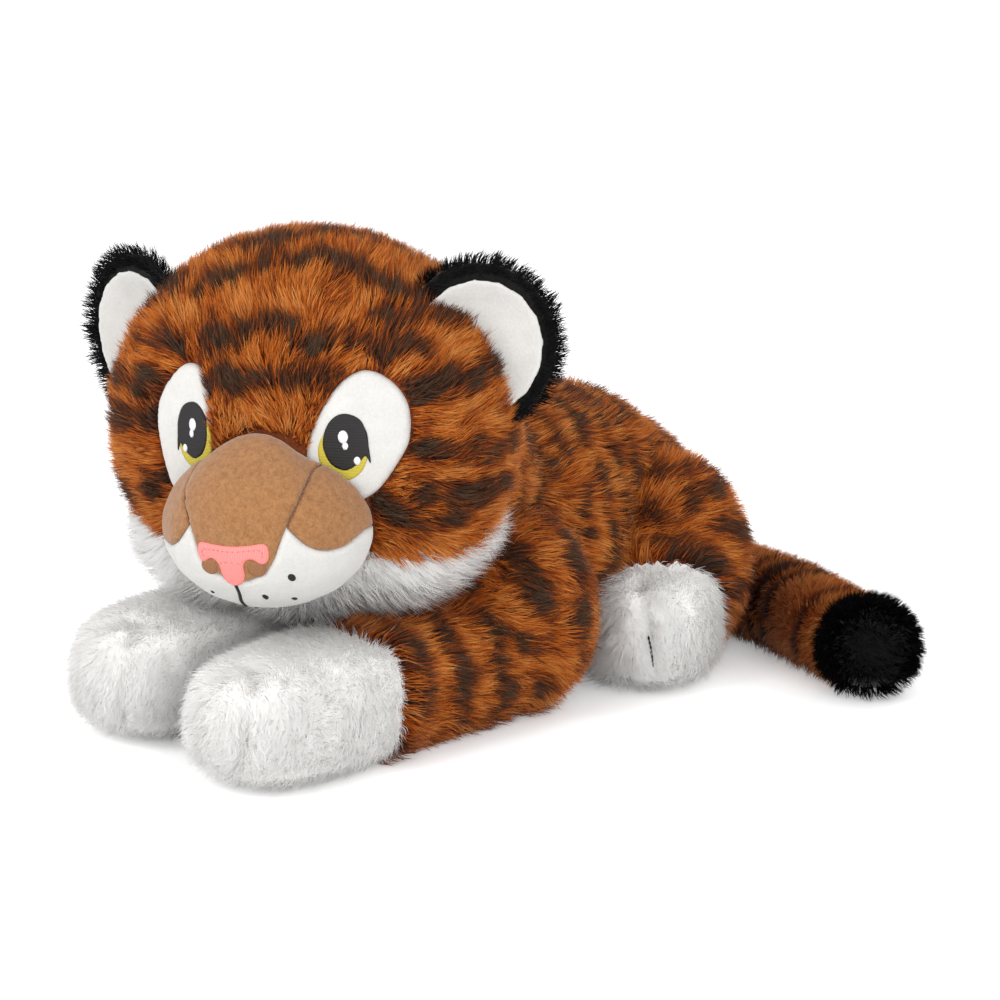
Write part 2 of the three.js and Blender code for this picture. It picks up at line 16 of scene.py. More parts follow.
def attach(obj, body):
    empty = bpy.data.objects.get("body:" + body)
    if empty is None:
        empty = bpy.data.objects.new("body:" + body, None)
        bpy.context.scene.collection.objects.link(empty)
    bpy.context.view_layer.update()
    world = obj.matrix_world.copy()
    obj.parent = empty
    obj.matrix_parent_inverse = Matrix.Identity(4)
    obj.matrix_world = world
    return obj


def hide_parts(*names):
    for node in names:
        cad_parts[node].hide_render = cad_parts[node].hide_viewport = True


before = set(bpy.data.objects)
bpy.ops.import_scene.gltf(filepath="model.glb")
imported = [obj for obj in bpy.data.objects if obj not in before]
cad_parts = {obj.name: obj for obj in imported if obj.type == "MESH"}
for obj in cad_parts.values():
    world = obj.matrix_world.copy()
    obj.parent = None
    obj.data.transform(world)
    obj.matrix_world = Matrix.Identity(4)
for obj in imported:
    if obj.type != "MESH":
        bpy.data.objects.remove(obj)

LOG = logging.getLogger("plush_tiger")
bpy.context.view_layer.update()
MM = 0.001
PHOTO_WIDTH = 1000
COVER_START = 2 * MM
COVER_REACH = 11 * MM
STITCH_PITCH = 1.25
STITCH_SIDES = 8
STITCH_RINGS = 6
OUTLINE_GRAIN = 1e-6
FEWEST_POINTS = 8
TINY = 1e-12
Array = np.ndarray
Field = Callable[[Array], Array]


class Coat(Enum):
    """The kinds of long-pile fur cloth."""

    STRIPED = "striped"
    WHITE = "white"
    BLACK = "black"


# Small helpers


def deselect() -> None:
    """Leaves nothing selected."""
    bpy.ops.object.select_all(action="DESELECT")


def use(obj: bpy.types.Object) -> bpy.types.Object:
    """Selects one object and makes it active.

    Args:
        obj: The object to select.

    Returns:
        The same object.
    """
    deselect()
    obj.select_set(True)
    bpy.context.view_layer.objects.active = obj
    return obj


def modify(obj: bpy.types.Object, kind: str, **settings: float | str) -> None:
    """Applies one modifier to an object.

    Args:
        obj: The object to change.
        kind: The modifier's kind.
        settings: Its settings by name.
    """
    modifier = use(obj).modifiers.new(kind, kind)
    for setting, value in settings.items():
        setattr(modifier, setting, value)
    bpy.ops.object.modifier_apply(modifier=modifier.name)


def edit_all(operation: Callable, **settings: float | bool) -> None:
    """Runs an operation on the whole mesh of the active object.

    Args:
        operation: A mesh operation.
        settings: Its settings by name.
    """
    bpy.ops.object.mode_set(mode="EDIT")
    bpy.ops.mesh.select_all(action="SELECT")
    operation(**settings)
    bpy.ops.object.mode_set(mode="OBJECT")


def linked(name: str, data: bpy.types.ID) -> bpy.types.Object:
    """Adds an object to the scene.

    Args:
        name: The object's name.
        data: Its mesh, camera or lamp.

    Returns:
        The new object.
    """
    obj = bpy.data.objects.new(name, data)
    bpy.context.scene.collection.objects.link(obj)
    return obj


def mesh_object(name: str, points: Array, faces: Sequence) -> bpy.types.Object:
    """Adds a mesh object to the scene.

    Args:
        name: The object's name.
        points: Vertex places in metres.
        faces: Vertex indices of each face.

    Returns:
        The new object.
    """
    mesh = bpy.data.meshes.new(name)
    mesh.from_pydata(np.asarray(points).tolist(), [], [list(map(int, f)) for f in faces])
    mesh.update()
    return linked(name, mesh)


def read(
    parts: bpy.types.bpy_prop_collection, attribute: str, kind: type = np.float32, size: int = 3
) -> Array:
    """Reads one attribute of all parts of a mesh.

    Args:
        parts: The mesh's vertices, loops, polygons or the like.
        attribute: The attribute's name.
        kind: The type of its values.
        size: How many values each part has.

    Returns:
        The values, with a row for each part where there are several.
    """
    values = np.empty(len(parts) * size, kind)
    parts.foreach_get(attribute, values)
    return values.reshape(-1, size) if size > 1 else values


def vertices(obj: bpy.types.Object) -> Array:
    """Returns the places of an object's vertices as an array of rows."""
    return read(obj.data.vertices, "co").astype(float)


def set_vertices(obj: bpy.types.Object, points: Array) -> None:
    """Moves an object's vertices to new places."""
    obj.data.vertices.foreach_set("co", np.asarray(points, np.float32).ravel())
    obj.data.update()


def vertex_normals(obj: bpy.types.Object) -> Array:
    """Returns an object's vertex normals as an array of rows."""
    return read(obj.data.vertex_normals, "vector").astype(float)


def triangles(obj: bpy.types.Object) -> Array:
    """Returns the corner indices of an object's triangles."""
    obj.data.calc_loop_triangles()
    return read(obj.data.loop_triangles, "vertices", np.int32)


def unit(rows: Array) -> Array:
    """Returns rows scaled to length one."""
    return rows / np.maximum(np.linalg.norm(rows, axis=-1, keepdims=True), TINY)


def smoothstep(low: float, high: float, value: Array) -> Array:
    """Returns a smooth rise from 0 at low to 1 at high."""
    t = np.clip((value - low) / (high - low), 0, 1)
    return t * t * (3 - 2 * t)


def tree(*pieces: str | bpy.types.Object) -> BVHTree:
    """Builds a search tree over the surfaces of CAD nodes, given by name, and of other pieces."""
    points, faces = [], []
    for piece in pieces:
        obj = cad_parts[piece] if isinstance(piece, str) else piece
        faces += (triangles(obj) + len(points)).tolist()
        points += vertices(obj).tolist()
    return BVHTree.FromPolygons(points, faces)


def distance_to_line(points: Array, line: Array) -> Array:
    """Returns how far each point is from a line of straight stretches."""
    nearest = np.full(len(points), np.inf)
    for start, end in zip(line[:-1], line[1:]):
        way = end - start
        t = np.clip((points - start) @ way / (way @ way), 0, 1)[:, None]
        nearest = np.minimum(nearest, np.linalg.norm(points - start - t * way, axis=1))
    return nearest


def distance_to(search: BVHTree, points: Array) -> Array:
    """Returns how far each point is from a surface."""
    return np.array([search.find_nearest(Vector(p))[3] for p in points])


def under(search: BVHTree, points: Array, normals: Array) -> Array:
    """Tells which points of a skin are covered by a surface that lies on it."""
    start = points - normals * COVER_START
    hits = [search.ray_cast(Vector(p), Vector(n), COVER_REACH)[2] for p, n in zip(start, normals)]
    return np.array([hit is not None for hit in hits])


def dressed(obj: bpy.types.Object, body: str, slot: str, *nodes: str) -> bpy.types.Object:
    """Lets a finished piece ride on its body and stand for CAD nodes.

    Args:
        obj: The finished piece.
        body: The body that it moves with.
        slot: The name of its finish's material slot; not used.
        nodes: The CAD nodes that it stands for.

    Returns:
        The same object.
    """
    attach(obj, body)
    if nodes:
        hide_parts(*nodes)
    LOG.info("%s: %d faces on %s", obj.name, len(obj.data.polygons), body)
    return obj


# Noise in space, for stripes and tufts


@dataclass(frozen=True)
class Waves:
    """A smooth random field made of a few waves."""

    seed: int
    size: float
    count: int = 24
    spread: tuple = (0.6, 1.7)

    def __call__(self, points: Array) -> Array:
        """Returns the field's value, about -1 to 1, at each point."""
        rng = np.random.default_rng(self.seed)
        ways = unit(rng.normal(size=(self.count, 3))) / self.size
        ways *= rng.uniform(*self.spread, (self.count, 1))
        phases = rng.uniform(0, 2 * math.pi, self.count)
        return np.sin(points @ ways.T * 2 * math.pi + phases).sum(1) / math.sqrt(self.count / 2)


def layered(layers: Sequence[tuple[float, Waves]], points: Array) -> Array:
    """Returns the sum of several random fields, each taken with its share."""
    return sum(share * waves(points) for share, waves in layers)


# Finishes


def shader(name: str, **values: float) -> tuple[bpy.types.Material, bpy.types.NodeTree, bpy.types.Node]:
    """Starts a node material.

    Args:
        name: The material's name.
        values: Values for its main shader's sockets, with low lines for spaces.

    Returns:
        The material, its node tree and its main shader.
    """
    material = bpy.data.materials.new(name)
    material.use_nodes = True
    nodes = material.node_tree
    main = nodes.nodes["Principled BSDF"]
    for socket, value in values.items():
        main.inputs[socket.replace("_", " ")].default_value = value
    return material, nodes, main


def node(
    nodes: bpy.types.NodeTree, kind: str, inputs: dict | None = None, **settings: str
) -> bpy.types.Node:
    """Adds a node.

    Args:
        nodes: The tree that gets it.
        kind: Its kind.
        inputs: Values for its sockets, by name or place.
        settings: The node's own settings by name.

    Returns:
        The node.
    """
    made = nodes.nodes.new(f"ShaderNode{kind}")
    for setting, value in settings.items():
        setattr(made, setting, value)
    for socket, value in (inputs or {}).items():
        made.inputs[socket].default_value = value
    return made


def wire(nodes: bpy.types.NodeTree, *wires: tuple) -> None:
    """Joins nodes.

    Args:
        nodes: The tree that they are in.
        wires: For each link its first node and output, and its second node and input.
    """
    for source, output, target, socket in wires:
        nodes.links.new(source.outputs[output], target.inputs[socket])


def ramp(nodes: bpy.types.NodeTree, stops: Sequence[tuple[float, tuple]]) -> bpy.types.Node:
    """Adds a colour ramp.

    Args:
        nodes: The tree that gets it.
        stops: Pairs of place and linear colour.

    Returns:
        The ramp's node.
    """
    made = node(nodes, "ValToRGB")
    elements = made.color_ramp.elements
    while len(elements) < len(stops):
        elements.new(0.5)
    for element, (place, colour) in zip(elements, stops):
        element.position = place
        element.color = (*colour, 1)
    return made


@dataclass(frozen=True)
class FurFinish:
    """Fur strands: their tone picks the hair, and the way along it goes from root to tip."""

    name: str
    roots: tuple
    tips: tuple
    through: float = 0.3
    roughness: float = 0.7
    sheen: float = 0.08
    sheen_roughness: float = 0.4
    gloss: float = 0.1

    def make(self) -> bpy.types.Material:
        """Returns the node material."""
        material, nodes, main = shader(
            self.name, Roughness=self.roughness, Sheen_Weight=self.sheen,
            Sheen_Roughness=self.sheen_roughness, Specular_IOR_Level=self.gloss,
        )
        tone = node(nodes, "Attribute", attribute_name="tone")
        along = node(nodes, "Attribute", attribute_name="along")
        root, tip = ramp(nodes, self.roots), ramp(nodes, self.tips)
        mix = node(nodes, "Mix", data_type="RGBA")
        thin = node(nodes, "BsdfTranslucent")
        share = node(nodes, "MixShader", {"Fac": self.through})
        wire(
            nodes, (tone, "Fac", root, "Fac"), (tone, "Fac", tip, "Fac"), (along, "Fac", mix, "Factor"),
            (root, "Color", mix, "A"), (tip, "Color", mix, "B"), (mix, "Result", main, "Base Color"),
            (mix, "Result", thin, "Color"), (main, 0, share, 1), (thin, 0, share, 2),
            (share, 0, nodes.nodes["Material Output"], "Surface"),
        )
        return material


@dataclass(frozen=True)
class NapFinish:
    """Short brushed cloth: fine nap, soft mottling and a little sheen."""

    name: str
    light: tuple
    dark: tuple
    nap: float = 900.0
    nap_detail: float = 3.0
    mottle: float = 90.0
    mottle_detail: float = 6.0
    bump: float = 0.35
    bump_depth: float = 0.6
    light_from: float = 0.62
    dark_to: float = 0.36
    roughness: float = 0.9
    sheen: float = 0.3
    sheen_roughness: float = 0.5
    gloss: float = 0.15

    def make(self) -> bpy.types.Material:
        """Returns the node material."""
        material, nodes, main = shader(
            self.name, Roughness=self.roughness, Sheen_Weight=self.sheen,
            Sheen_Roughness=self.sheen_roughness, Specular_IOR_Level=self.gloss,
        )
        place = node(nodes, "TexCoord")
        nap = node(nodes, "TexNoise", {"Scale": self.nap, "Detail": self.nap_detail})
        mottle = node(nodes, "TexNoise", {"Scale": self.mottle, "Detail": self.mottle_detail})
        both = node(nodes, "Math", operation="ADD")
        half = node(nodes, "Math", {1: 0.5}, operation="MULTIPLY")
        colour = ramp(nodes, ((self.dark_to, self.dark), (self.light_from, self.light)))
        bump = node(nodes, "Bump", {"Strength": self.bump, "Distance": self.bump_depth * MM})
        wire(
            nodes, (place, "Object", nap, "Vector"), (place, "Object", mottle, "Vector"),
            (nap, "Fac", both, 0), (mottle, "Fac", both, 1), (both, 0, half, 0), (half, 0, colour, "Fac"),
            (colour, "Color", main, "Base Color"), (nap, "Fac", bump, "Height"),
            (bump, "Normal", main, "Normal"),
        )
        return material


@dataclass(frozen=True)
class StitchFinish:
    """Satin stitch: close parallel threads with a soft shine, along the piece's own flat map."""

    name: str
    light: tuple
    dark: tuple
    turn: float = 0.0
    pitch: float = 0.6
    pitch_scale: float = 3.2
    wander: float = 1.4
    wander_size: float = 1.5
    light_from: float = 0.6
    bump: float = 0.5
    bump_depth: float = 0.2
    roughness: float = 0.5
    gloss: float = 0.3

    def make(self) -> bpy.types.Material:
        """Returns the node material."""
        material, nodes, main = shader(self.name, Roughness=self.roughness, Specular_IOR_Level=self.gloss)
        place = node(nodes, "UVMap", uv_map="flat")
        mapping = node(nodes, "Mapping", {"Rotation": (0, 0, math.radians(self.turn))})
        wave = node(nodes, "TexWave", {
            "Scale": 1 / (self.pitch * self.pitch_scale), "Distortion": self.wander,
            "Detail Scale": self.wander_size,
        })
        colour = ramp(nodes, ((0.0, self.dark), (self.light_from, self.light)))
        bump = node(nodes, "Bump", {"Strength": self.bump, "Distance": self.bump_depth * MM})
        wire(
            nodes, (place, "UV", mapping, "Vector"), (mapping, "Vector", wave, "Vector"),
            (wave, "Fac", colour, "Fac"), (colour, "Color", main, "Base Color"),
            (wave, "Fac", bump, "Height"), (bump, "Normal", main, "Normal"),
        )
        return material


STRIPED_FUR = FurFinish(
    "striped_fur",
    roots=(
        (0.0, (0.41, 0.115, 0.018)), (0.25, (0.39, 0.070, 0.004)), (0.45, (0.26, 0.037, 0.003)),
        (0.62, (0.085, 0.017, 0.005)), (0.8, (0.024, 0.009, 0.006)), (1.0, (0.013, 0.008, 0.007)),
    ),
    tips=(
        (0.0, (0.74, 0.33, 0.09)), (0.22, (0.65, 0.20, 0.027)), (0.42, (0.45, 0.098, 0.011)),
        (0.6, (0.15, 0.050, 0.020)), (0.8, (0.042, 0.021, 0.013)), (1.0, (0.13, 0.075, 0.042)),
    ),
)
WHITE_FUR = FurFinish(
    "white_fur",
    roots=((0.0, (0.93, 0.92, 0.90)), (1.0, (0.97, 0.965, 0.955))),
    tips=((0.0, (0.95, 0.945, 0.94)), (1.0, (0.98, 0.98, 0.975))),
    through=0.5,
)
BLACK_FUR = FurFinish(
    "black_fur",
    roots=((0.0, (0.003, 0.003, 0.003)), (1.0, (0.006, 0.006, 0.006))),
    tips=((0.0, (0.004, 0.004, 0.004)), (1.0, (0.012, 0.012, 0.012))),
    sheen=0.0,
)
STRIPED_BACKING = NapFinish("striped_backing", (0.22, 0.05, 0.01), (0.08, 0.02, 0.006))
WHITE_BACKING = NapFinish("white_backing", (0.95, 0.94, 0.93), (0.9, 0.89, 0.88))
BLACK_BACKING = NapFinish("black_backing", (0.012, 0.011, 0.01), (0.005, 0.005, 0.005))
TAN_NAP = NapFinish("tan_nap", (0.33, 0.158, 0.062), (0.22, 0.098, 0.037), nap=1100.0, mottle=420.0)
WHITE_NAP = NapFinish("white_nap", (0.575, 0.565, 0.545), (0.515, 0.505, 0.485))
PINK_STITCH = StitchFinish("pink_stitch", (0.92, 0.27, 0.25), (0.72, 0.15, 0.14))
BROWN_STITCH = StitchFinish("brown_stitch", (0.30, 0.135, 0.055), (0.17, 0.07, 0.028))
BLACK_STITCH = StitchFinish("black_stitch", (0.014, 0.012, 0.012), (0.006, 0.005, 0.005), turn=90)
OLIVE_STITCH = StitchFinish("olive_stitch", (0.52, 0.43, 0.05), (0.34, 0.27, 0.02), turn=90)
BLACK_THREAD = NapFinish("black_thread", (0.012, 0.011, 0.011), (0.006, 0.006, 0.006))
ROSE_THREAD = NapFinish("rose_thread", (0.70, 0.16, 0.15), (0.55, 0.10, 0.10))
BROWN_THREAD = NapFinish("brown_thread", (0.22, 0.09, 0.035), (0.12, 0.045, 0.018))
GLINT_STITCH = StitchFinish("glint_stitch", (0.78, 0.78, 0.80), (0.60, 0.60, 0.63))


# Fur


@dataclass
class FurPanel:
    """One sewn panel of fur cloth and how its pile lies."""

    name: str
    body: str
    nodes: tuple[str, ...]
    coat: Coat
    comb: Field
    shade: Field
    pile: float = 11.5
    density: float = 2.3
    width: float = 0.46
    root_lean: float = 28.0
    tip_lean: float = 60.0
    tuft: float = 3.5
    gather: float = 0.4
    stray: float = 0.07
    skin_share: float = 0.72
    creep: Field | None = None
    trim: Callable[[Array, Array], Array] | None = None


class Furrier:
    """Grows every fur strand as real geometry: bent, tapered ribbons gathered into tufts."""

    FINISHES = {Coat.STRIPED: STRIPED_FUR, Coat.WHITE: WHITE_FUR, Coat.BLACK: BLACK_FUR}
    BACKINGS = {Coat.STRIPED: STRIPED_BACKING, Coat.WHITE: WHITE_BACKING, Coat.BLACK: BLACK_BACKING}
    SLOTS = {Coat.STRIPED: "orange_fur", Coat.WHITE: "white_fur", Coat.BLACK: "black_fur"}
    UNDERSIDE = -0.5
    UNDERSIDE_SHARE = 0.35
    QUICK_SHARE = 0.3
    LENGTH_SPREAD = 0.13
    LENGTH_RANGE = (0.6, 1.35)
    WIDTH_RANGE = (0.75, 1.25)
    COMB_SPREAD = 0.22
    SWIRL = 0.35
    SWIRL_SIZE = 30.0
    TONE_SPREAD = 0.16
    LEAN_SPREAD = 7.0
    STRAY_LIFT = 32.0
    ROOT_DEPTH = 0.5
    LOWER_SHARE = 0.5
    UPPER_SHARE = 0.55
    PULL_RANGE = (0.5, 1.1)
    MIDDLE_PULL = 0.3
    FEWEST_TUFTS = 8
    SWIRL_SEED = 5
    STRAND_POINTS = 5
    ROLL_SPREAD = 38.0
    TAPER = 0.85
    FLOOR_GAP = 0.4
    MESH_STRANDS = 62000
    MIDDLE_PLACE = 0.45
    MAP_HALF = 0.01
    MAP_EDGE = 0.02

    def __init__(self) -> None:
        """Makes the fur and backing materials."""
        self.backings = {coat: finish.make() for coat, finish in self.BACKINGS.items()}
        self.materials = {coat: finish.make() for coat, finish in self.FINISHES.items()}
        self.strands = 0

    def roots(
        self, skin: bpy.types.Object, keep: Array, count_per_mm2: float, rng: np.random.Generator
    ) -> tuple[Array, Array]:
        """Scatters strand roots over part of a skin.

        Args:
            skin: The skin that the fur grows on.
            keep: Which of its triangles belong to the panel.
            count_per_mm2: Strands for each square millimetre.
            rng: The seeded generator.

        Returns:
            The roots' places and surface normals.
        """
        points, normals = vertices(skin), vertex_normals(skin)
        tris = triangles(skin)[keep]
        corners = points[tris]
        cross = np.cross(corners[:, 1] - corners[:, 0], corners[:, 2] - corners[:, 0])
        area = np.linalg.norm(cross, axis=1) / 2
        count = int(area.sum() / MM**2 * count_per_mm2)
        pick = rng.choice(len(tris), count, p=area / area.sum())
        u, v = rng.random((2, count, 1))
        flip = u + v > 1
        u, v = np.where(flip, 1 - u, u), np.where(flip, 1 - v, v)
        weights = [1 - u - v, u, v]
        place = sum(w * corners[pick, k] for k, w in enumerate(weights))
        normal = sum(w * normals[tris[pick, k]] for k, w in enumerate(weights))
        return place, unit(normal)

    def grow(self, panel: FurPanel, skin: bpy.types.Object, keep: Array, seed: int) -> None:
        """Grows one panel's fur and dresses it on its body.

        Args:
            panel: The panel's layout.
            skin: The skin it grows on.
            keep: Which of the skin's triangles belong to the panel.
            seed: The seed of its random draws.
        """
        rng = np.random.default_rng(seed)
        thin = 1.0
        place, normal = self.roots(skin, keep, panel.density * thin, rng)
        shown = (normal[:, 2] > self.UNDERSIDE) | (rng.random(len(place)) < self.UNDERSIDE_SHARE)
        place, normal = place[shown], normal[shown]
        length = panel.pile * MM * rng.normal(1, self.LENGTH_SPREAD, len(place)).clip(*self.LENGTH_RANGE)
        if panel.trim is not None:
            share = panel.trim(place, normal)
            kept = share > 0
            place, normal, length = place[kept], normal[kept], length[kept] * share[kept]
        comb = unit(panel.comb(place))
        comb += rng.normal(0, self.COMB_SPREAD, comb.shape)
        comb -= (comb * normal).sum(1, keepdims=True) * normal
        comb = unit(comb)
        swirl = Waves(seed + self.SWIRL_SEED, self.SWIRL_SIZE * MM)(place)[:, None] * self.SWIRL
        comb = unit(comb + swirl * np.cross(normal, comb))
        shape = self.bend(panel, place, normal, comb, length, rng)
        offset = (shape[1] + shape[2]) / 2 - place
        seen = place + offset - normal * (offset * normal).sum(1, keepdims=True)
        self.gather(panel, place, shape, rng)
        tone = np.clip(panel.shade(seen) + rng.normal(0, self.TONE_SPREAD, len(place)), 0, 1)
        width = panel.width * MM * rng.uniform(*self.WIDTH_RANGE, len(place)) / math.sqrt(thin)
        self.weave(panel, shape, normal, width, tone, rng)

    def bend(
        self, panel: FurPanel, place: Array, normal: Array, comb: Array, length: Array,
        rng: np.random.Generator,
    ) -> list[Array]:
        """Returns each strand's root, middle and tip."""
        spread = rng.normal(0, self.LEAN_SPREAD, len(place))
        spread -= self.STRAY_LIFT * (rng.random(len(place)) < panel.stray)
        bends = []
        for lean in (panel.root_lean, panel.tip_lean):
            angle = np.radians(lean + spread)[:, None]
            bends.append(normal * np.cos(angle) + comb * np.sin(angle))
        root = place - normal * self.ROOT_DEPTH * MM
        middle = root + bends[0] * (length * self.LOWER_SHARE)[:, None]
        tip = middle + bends[1] * (length * self.UPPER_SHARE)[:, None]
        return [root, middle, tip]

    def gather(
        self, panel: FurPanel, place: Array, shape: list[Array], rng: np.random.Generator
    ) -> None:
        """Draws the strands' tips together into tufts, in place."""
        seeds = max(self.FEWEST_TUFTS, int(len(place) / max(1.0, panel.density * panel.tuft**2)))
        chosen = rng.choice(len(place), seeds, replace=False)
        search = KDTree(seeds)
        for k, index in enumerate(chosen):
            search.insert(place[index], k)
        search.balance()
        owner = chosen[[search.find(p)[1] for p in place]]
        pull = panel.gather * rng.uniform(*self.PULL_RANGE, (len(place), 1))
        shape[1] += (shape[1][owner] - shape[1]) * pull * self.MIDDLE_PULL
        shape[2] += (shape[2][owner] - shape[2]) * pull

    def weave(
        self, panel: FurPanel, shape: list[Array], normal: Array, width: Array, tone: Array,
        rng: np.random.Generator,
    ) -> None:
        """Makes the strands' mesh and splits it into objects of a modest size."""
        root, middle, tip = shape
        count = len(root)
        roll = np.radians(rng.normal(0, self.ROLL_SPREAD, count))[:, None]

        def edge(way: Array) -> Array:
            along = unit(way)
            side = unit(np.cross(along, normal))
            return side * np.cos(roll) + np.cross(along, side) * np.sin(roll)

        low, high = edge(middle - root), edge(tip - middle)
        half = (width / 2)[:, None]
        upper = high * half * self.TAPER
        rows = np.stack([root - low * half, root + low * half, middle - upper, middle + upper, tip], 1)
        rows[:, :, 2] = np.maximum(rows[:, :, 2], self.FLOOR_GAP * MM)
        parts = max(1, math.ceil(count / self.MESH_STRANDS))
        for part in range(parts):
            chosen = slice(part * count // parts, (part + 1) * count // parts)
            name = panel.name if parts == 1 else f"{panel.name}_{part + 1}"
            obj = self.strand_object(name, rows[chosen], tone[chosen])
            self.shine_like_skin(obj, rows[chosen], normal[chosen], panel.skin_share)
            obj.data.materials.append(self.materials[panel.coat])
            nodes = panel.nodes if part == 0 else ()
            dressed(obj, panel.body, self.SLOTS[panel.coat], *nodes)
        self.strands += count

    def shine_like_skin(self, obj: bpy.types.Object, rows: Array, normal: Array, share: float) -> None:
        """Turns the strands' shading most of the way to the skin's, as light runs together in pile."""
        ribbon = unit(np.cross(rows[:, 1] - rows[:, 0], rows[:, -1] - rows[:, 0]))
        shading = unit(normal * share + ribbon * (1 - share))
        shading = np.repeat(shading, self.STRAND_POINTS, 0)
        obj.data.normals_split_custom_set_from_vertices(shading.tolist())

    def strand_object(self, name: str, rows: Array, tone: Array) -> bpy.types.Object:
        """Builds the mesh of a batch of strands, with its tone and root-to-tip attributes."""
        count = len(rows)
        base = (np.arange(count) * self.STRAND_POINTS)[:, None]
        quads = (base + np.array([0, 1, 3, 2])).ravel()
        tips = (base + np.array([2, 3, 4])).ravel()
        mesh = bpy.data.meshes.new(name)
        mesh.vertices.add(count * self.STRAND_POINTS)
        mesh.vertices.foreach_set("co", rows.astype(np.float32).ravel())
        corners = np.concatenate([quads, tips]).astype(np.int32)
        mesh.loops.add(len(corners))
        mesh.loops.foreach_set("vertex_index", corners)
        starts = np.concatenate([np.arange(count) * 4, count * 4 + np.arange(count) * 3])
        mesh.polygons.add(count * 2)
        mesh.polygons.foreach_set("loop_start", starts.astype(np.int32))
        mesh.polygons.foreach_set("use_smooth", np.ones(count * 2, bool))
        along = np.tile([0.0, 0.0, self.MIDDLE_PLACE, self.MIDDLE_PLACE, 1.0], count)
        tones = np.repeat(tone, self.STRAND_POINTS)
        for label, values in (("tone", tones), ("along", along)):
            attribute = mesh.attributes.new(label, "FLOAT", "POINT")
            attribute.data.foreach_set("value", values.astype(np.float32))
        across = np.tile(np.array([-1, 1, -1, 1, 0]) * self.MAP_HALF, count)
        u = np.clip(tones, self.MAP_EDGE, 1 - self.MAP_EDGE) + across
        v = self.MAP_EDGE + along * (1 - 2 * self.MAP_EDGE)
        uv = mesh.uv_layers.new(name="OFBake")
        uv.data.foreach_set("uv", np.stack([u[corners], v[corners]], 1).astype(np.float32).ravel())
        mesh.update(calc_edges=True)
        mesh.validate()
        return linked(name, mesh)


# Skins


@dataclass
class Skin:
    """A stuffed skin: the CAD covers and their stuffing as one smooth padded form."""

    name: str
    body: str
    nodes: tuple[str, ...]
    slot: str
    fill: float = 0.85
    voxel: float = 3.2
    smooth: int = 14
    inset: float = 2.4
    grooves: tuple = ()
    groove_depth: float = 5.0
    groove_width: float = 3.4
    squared: tuple[str, ...] = ()
    square_power: float = 3.6
    square_share: float = 0.42
    square_reach: float = 9.0
    smooth_share: float = 0.6
    weld: float = 0.01

    def square(self, points: Array) -> Array:
        """Returns a skin's points with the paws named in squared pushed out towards their boxes."""
        for node in self.squared:
            cover = vertices(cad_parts[node])
            middle, half = (cover.max(0) + cover.min(0)) / 2, (cover.max(0) - cover.min(0)) / 2
            share = np.abs(points - middle) / half
            push = np.linalg.norm(share, axis=1) / np.linalg.norm(share, self.square_power, axis=1) - 1
            near = 1 - smoothstep(0, self.square_reach * MM, distance_to(tree(node), points))
            points = middle + (points - middle) * (1 + near * self.square_share * push)[:, None]
        return points

    def make(self) -> bpy.types.Object:
        """Builds the padded skin, still without a finish.

        Returns:
            The skin object.
        """
        copies = [linked(f"{self.name}_part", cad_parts[node].data.copy()) for node in self.nodes]
        skin = use(copies[0])
        for copy in copies:
            copy.select_set(True)
        if len(copies) > 1:
            bpy.ops.object.join()
        skin.name = skin.data.name = self.name
        skin.data.materials.clear()
        edit_all(bpy.ops.mesh.remove_doubles, threshold=self.weld * MM)
        modify(skin, "REMESH", mode="VOXEL", voxel_size=self.voxel * MM)
        modify(skin, "SMOOTH", factor=self.smooth_share, iterations=self.smooth)
        set_vertices(skin, self.square(vertices(skin)))
        points = vertices(skin)
        depth = self.inset * MM
        for groove in self.grooves:
            near = distance_to_line(points, np.array(groove) * MM)
            depth = depth + self.groove_depth * MM * np.exp(-((near / (self.groove_width * MM)) ** 2))
        set_vertices(skin, points - vertex_normals(skin) * np.reshape(depth, (-1, 1)))
        bpy.ops.object.shade_smooth()
        return skin


class Tailor:
    """Shares a skin's triangles out among its sewn panels and has their fur grown."""

    FIRST_SEED = 11

    def __init__(self, furrier: Furrier) -> None:
        """Keeps the furrier that grows the fur."""
        self.furrier = furrier
        self.seed = self.FIRST_SEED

    def sew(self, skin: Skin, panels: Sequence[FurPanel]) -> bpy.types.Object:
        """Makes one skin with its panels of fur.

        Args:
            skin: The stuffed skin's layout.
            panels: The fur panels, each with the CAD covers it stands for.

        Returns:
            The skin object.
        """
        obj = skin.make()
        return self.cover(obj, skin, panels)

    def cover(self, obj: bpy.types.Object, skin: Skin, panels: Sequence[FurPanel]) -> bpy.types.Object:
        """Dresses a finished skin with its backing cloths and their fur.

        Args:
            obj: The skin object.
            skin: Its layout.
            panels: The fur panels.

        Returns:
            The skin object.
        """
        obj.data.calc_loop_triangles()
        owner = read(obj.data.loop_triangles, "polygon_index", np.int32, 1)
        centres = read(obj.data.polygons, "center")
        reach = np.stack([distance_to(tree(*panel.nodes), centres) for panel in panels], 1)
        for column, panel in enumerate(panels):
            if panel.creep is not None:
                reach[:, column] -= panel.creep(centres)
        nearest = reach.argmin(1)
        for panel in panels:
            obj.data.materials.append(self.furrier.backings[panel.coat])
        obj.data.polygons.foreach_set("material_index", nearest.astype(np.int32))
        covered = {node for panel in panels for node in panel.nodes}
        for index, panel in enumerate(panels):
            self.seed += 1
            self.furrier.grow(panel, obj, nearest[owner] == index, self.seed)
        inner = [node for node in skin.nodes if node not in covered]
        dressed(obj, skin.body, skin.slot, *inner)
        return obj


# Stripes


def band(value: Array, centre: float, half: float, soft: float) -> Array:
    """Returns 1 inside a band and 0 outside it, with soft edges."""
    return 1 - smoothstep(half - soft, half + soft, np.abs(value - centre))


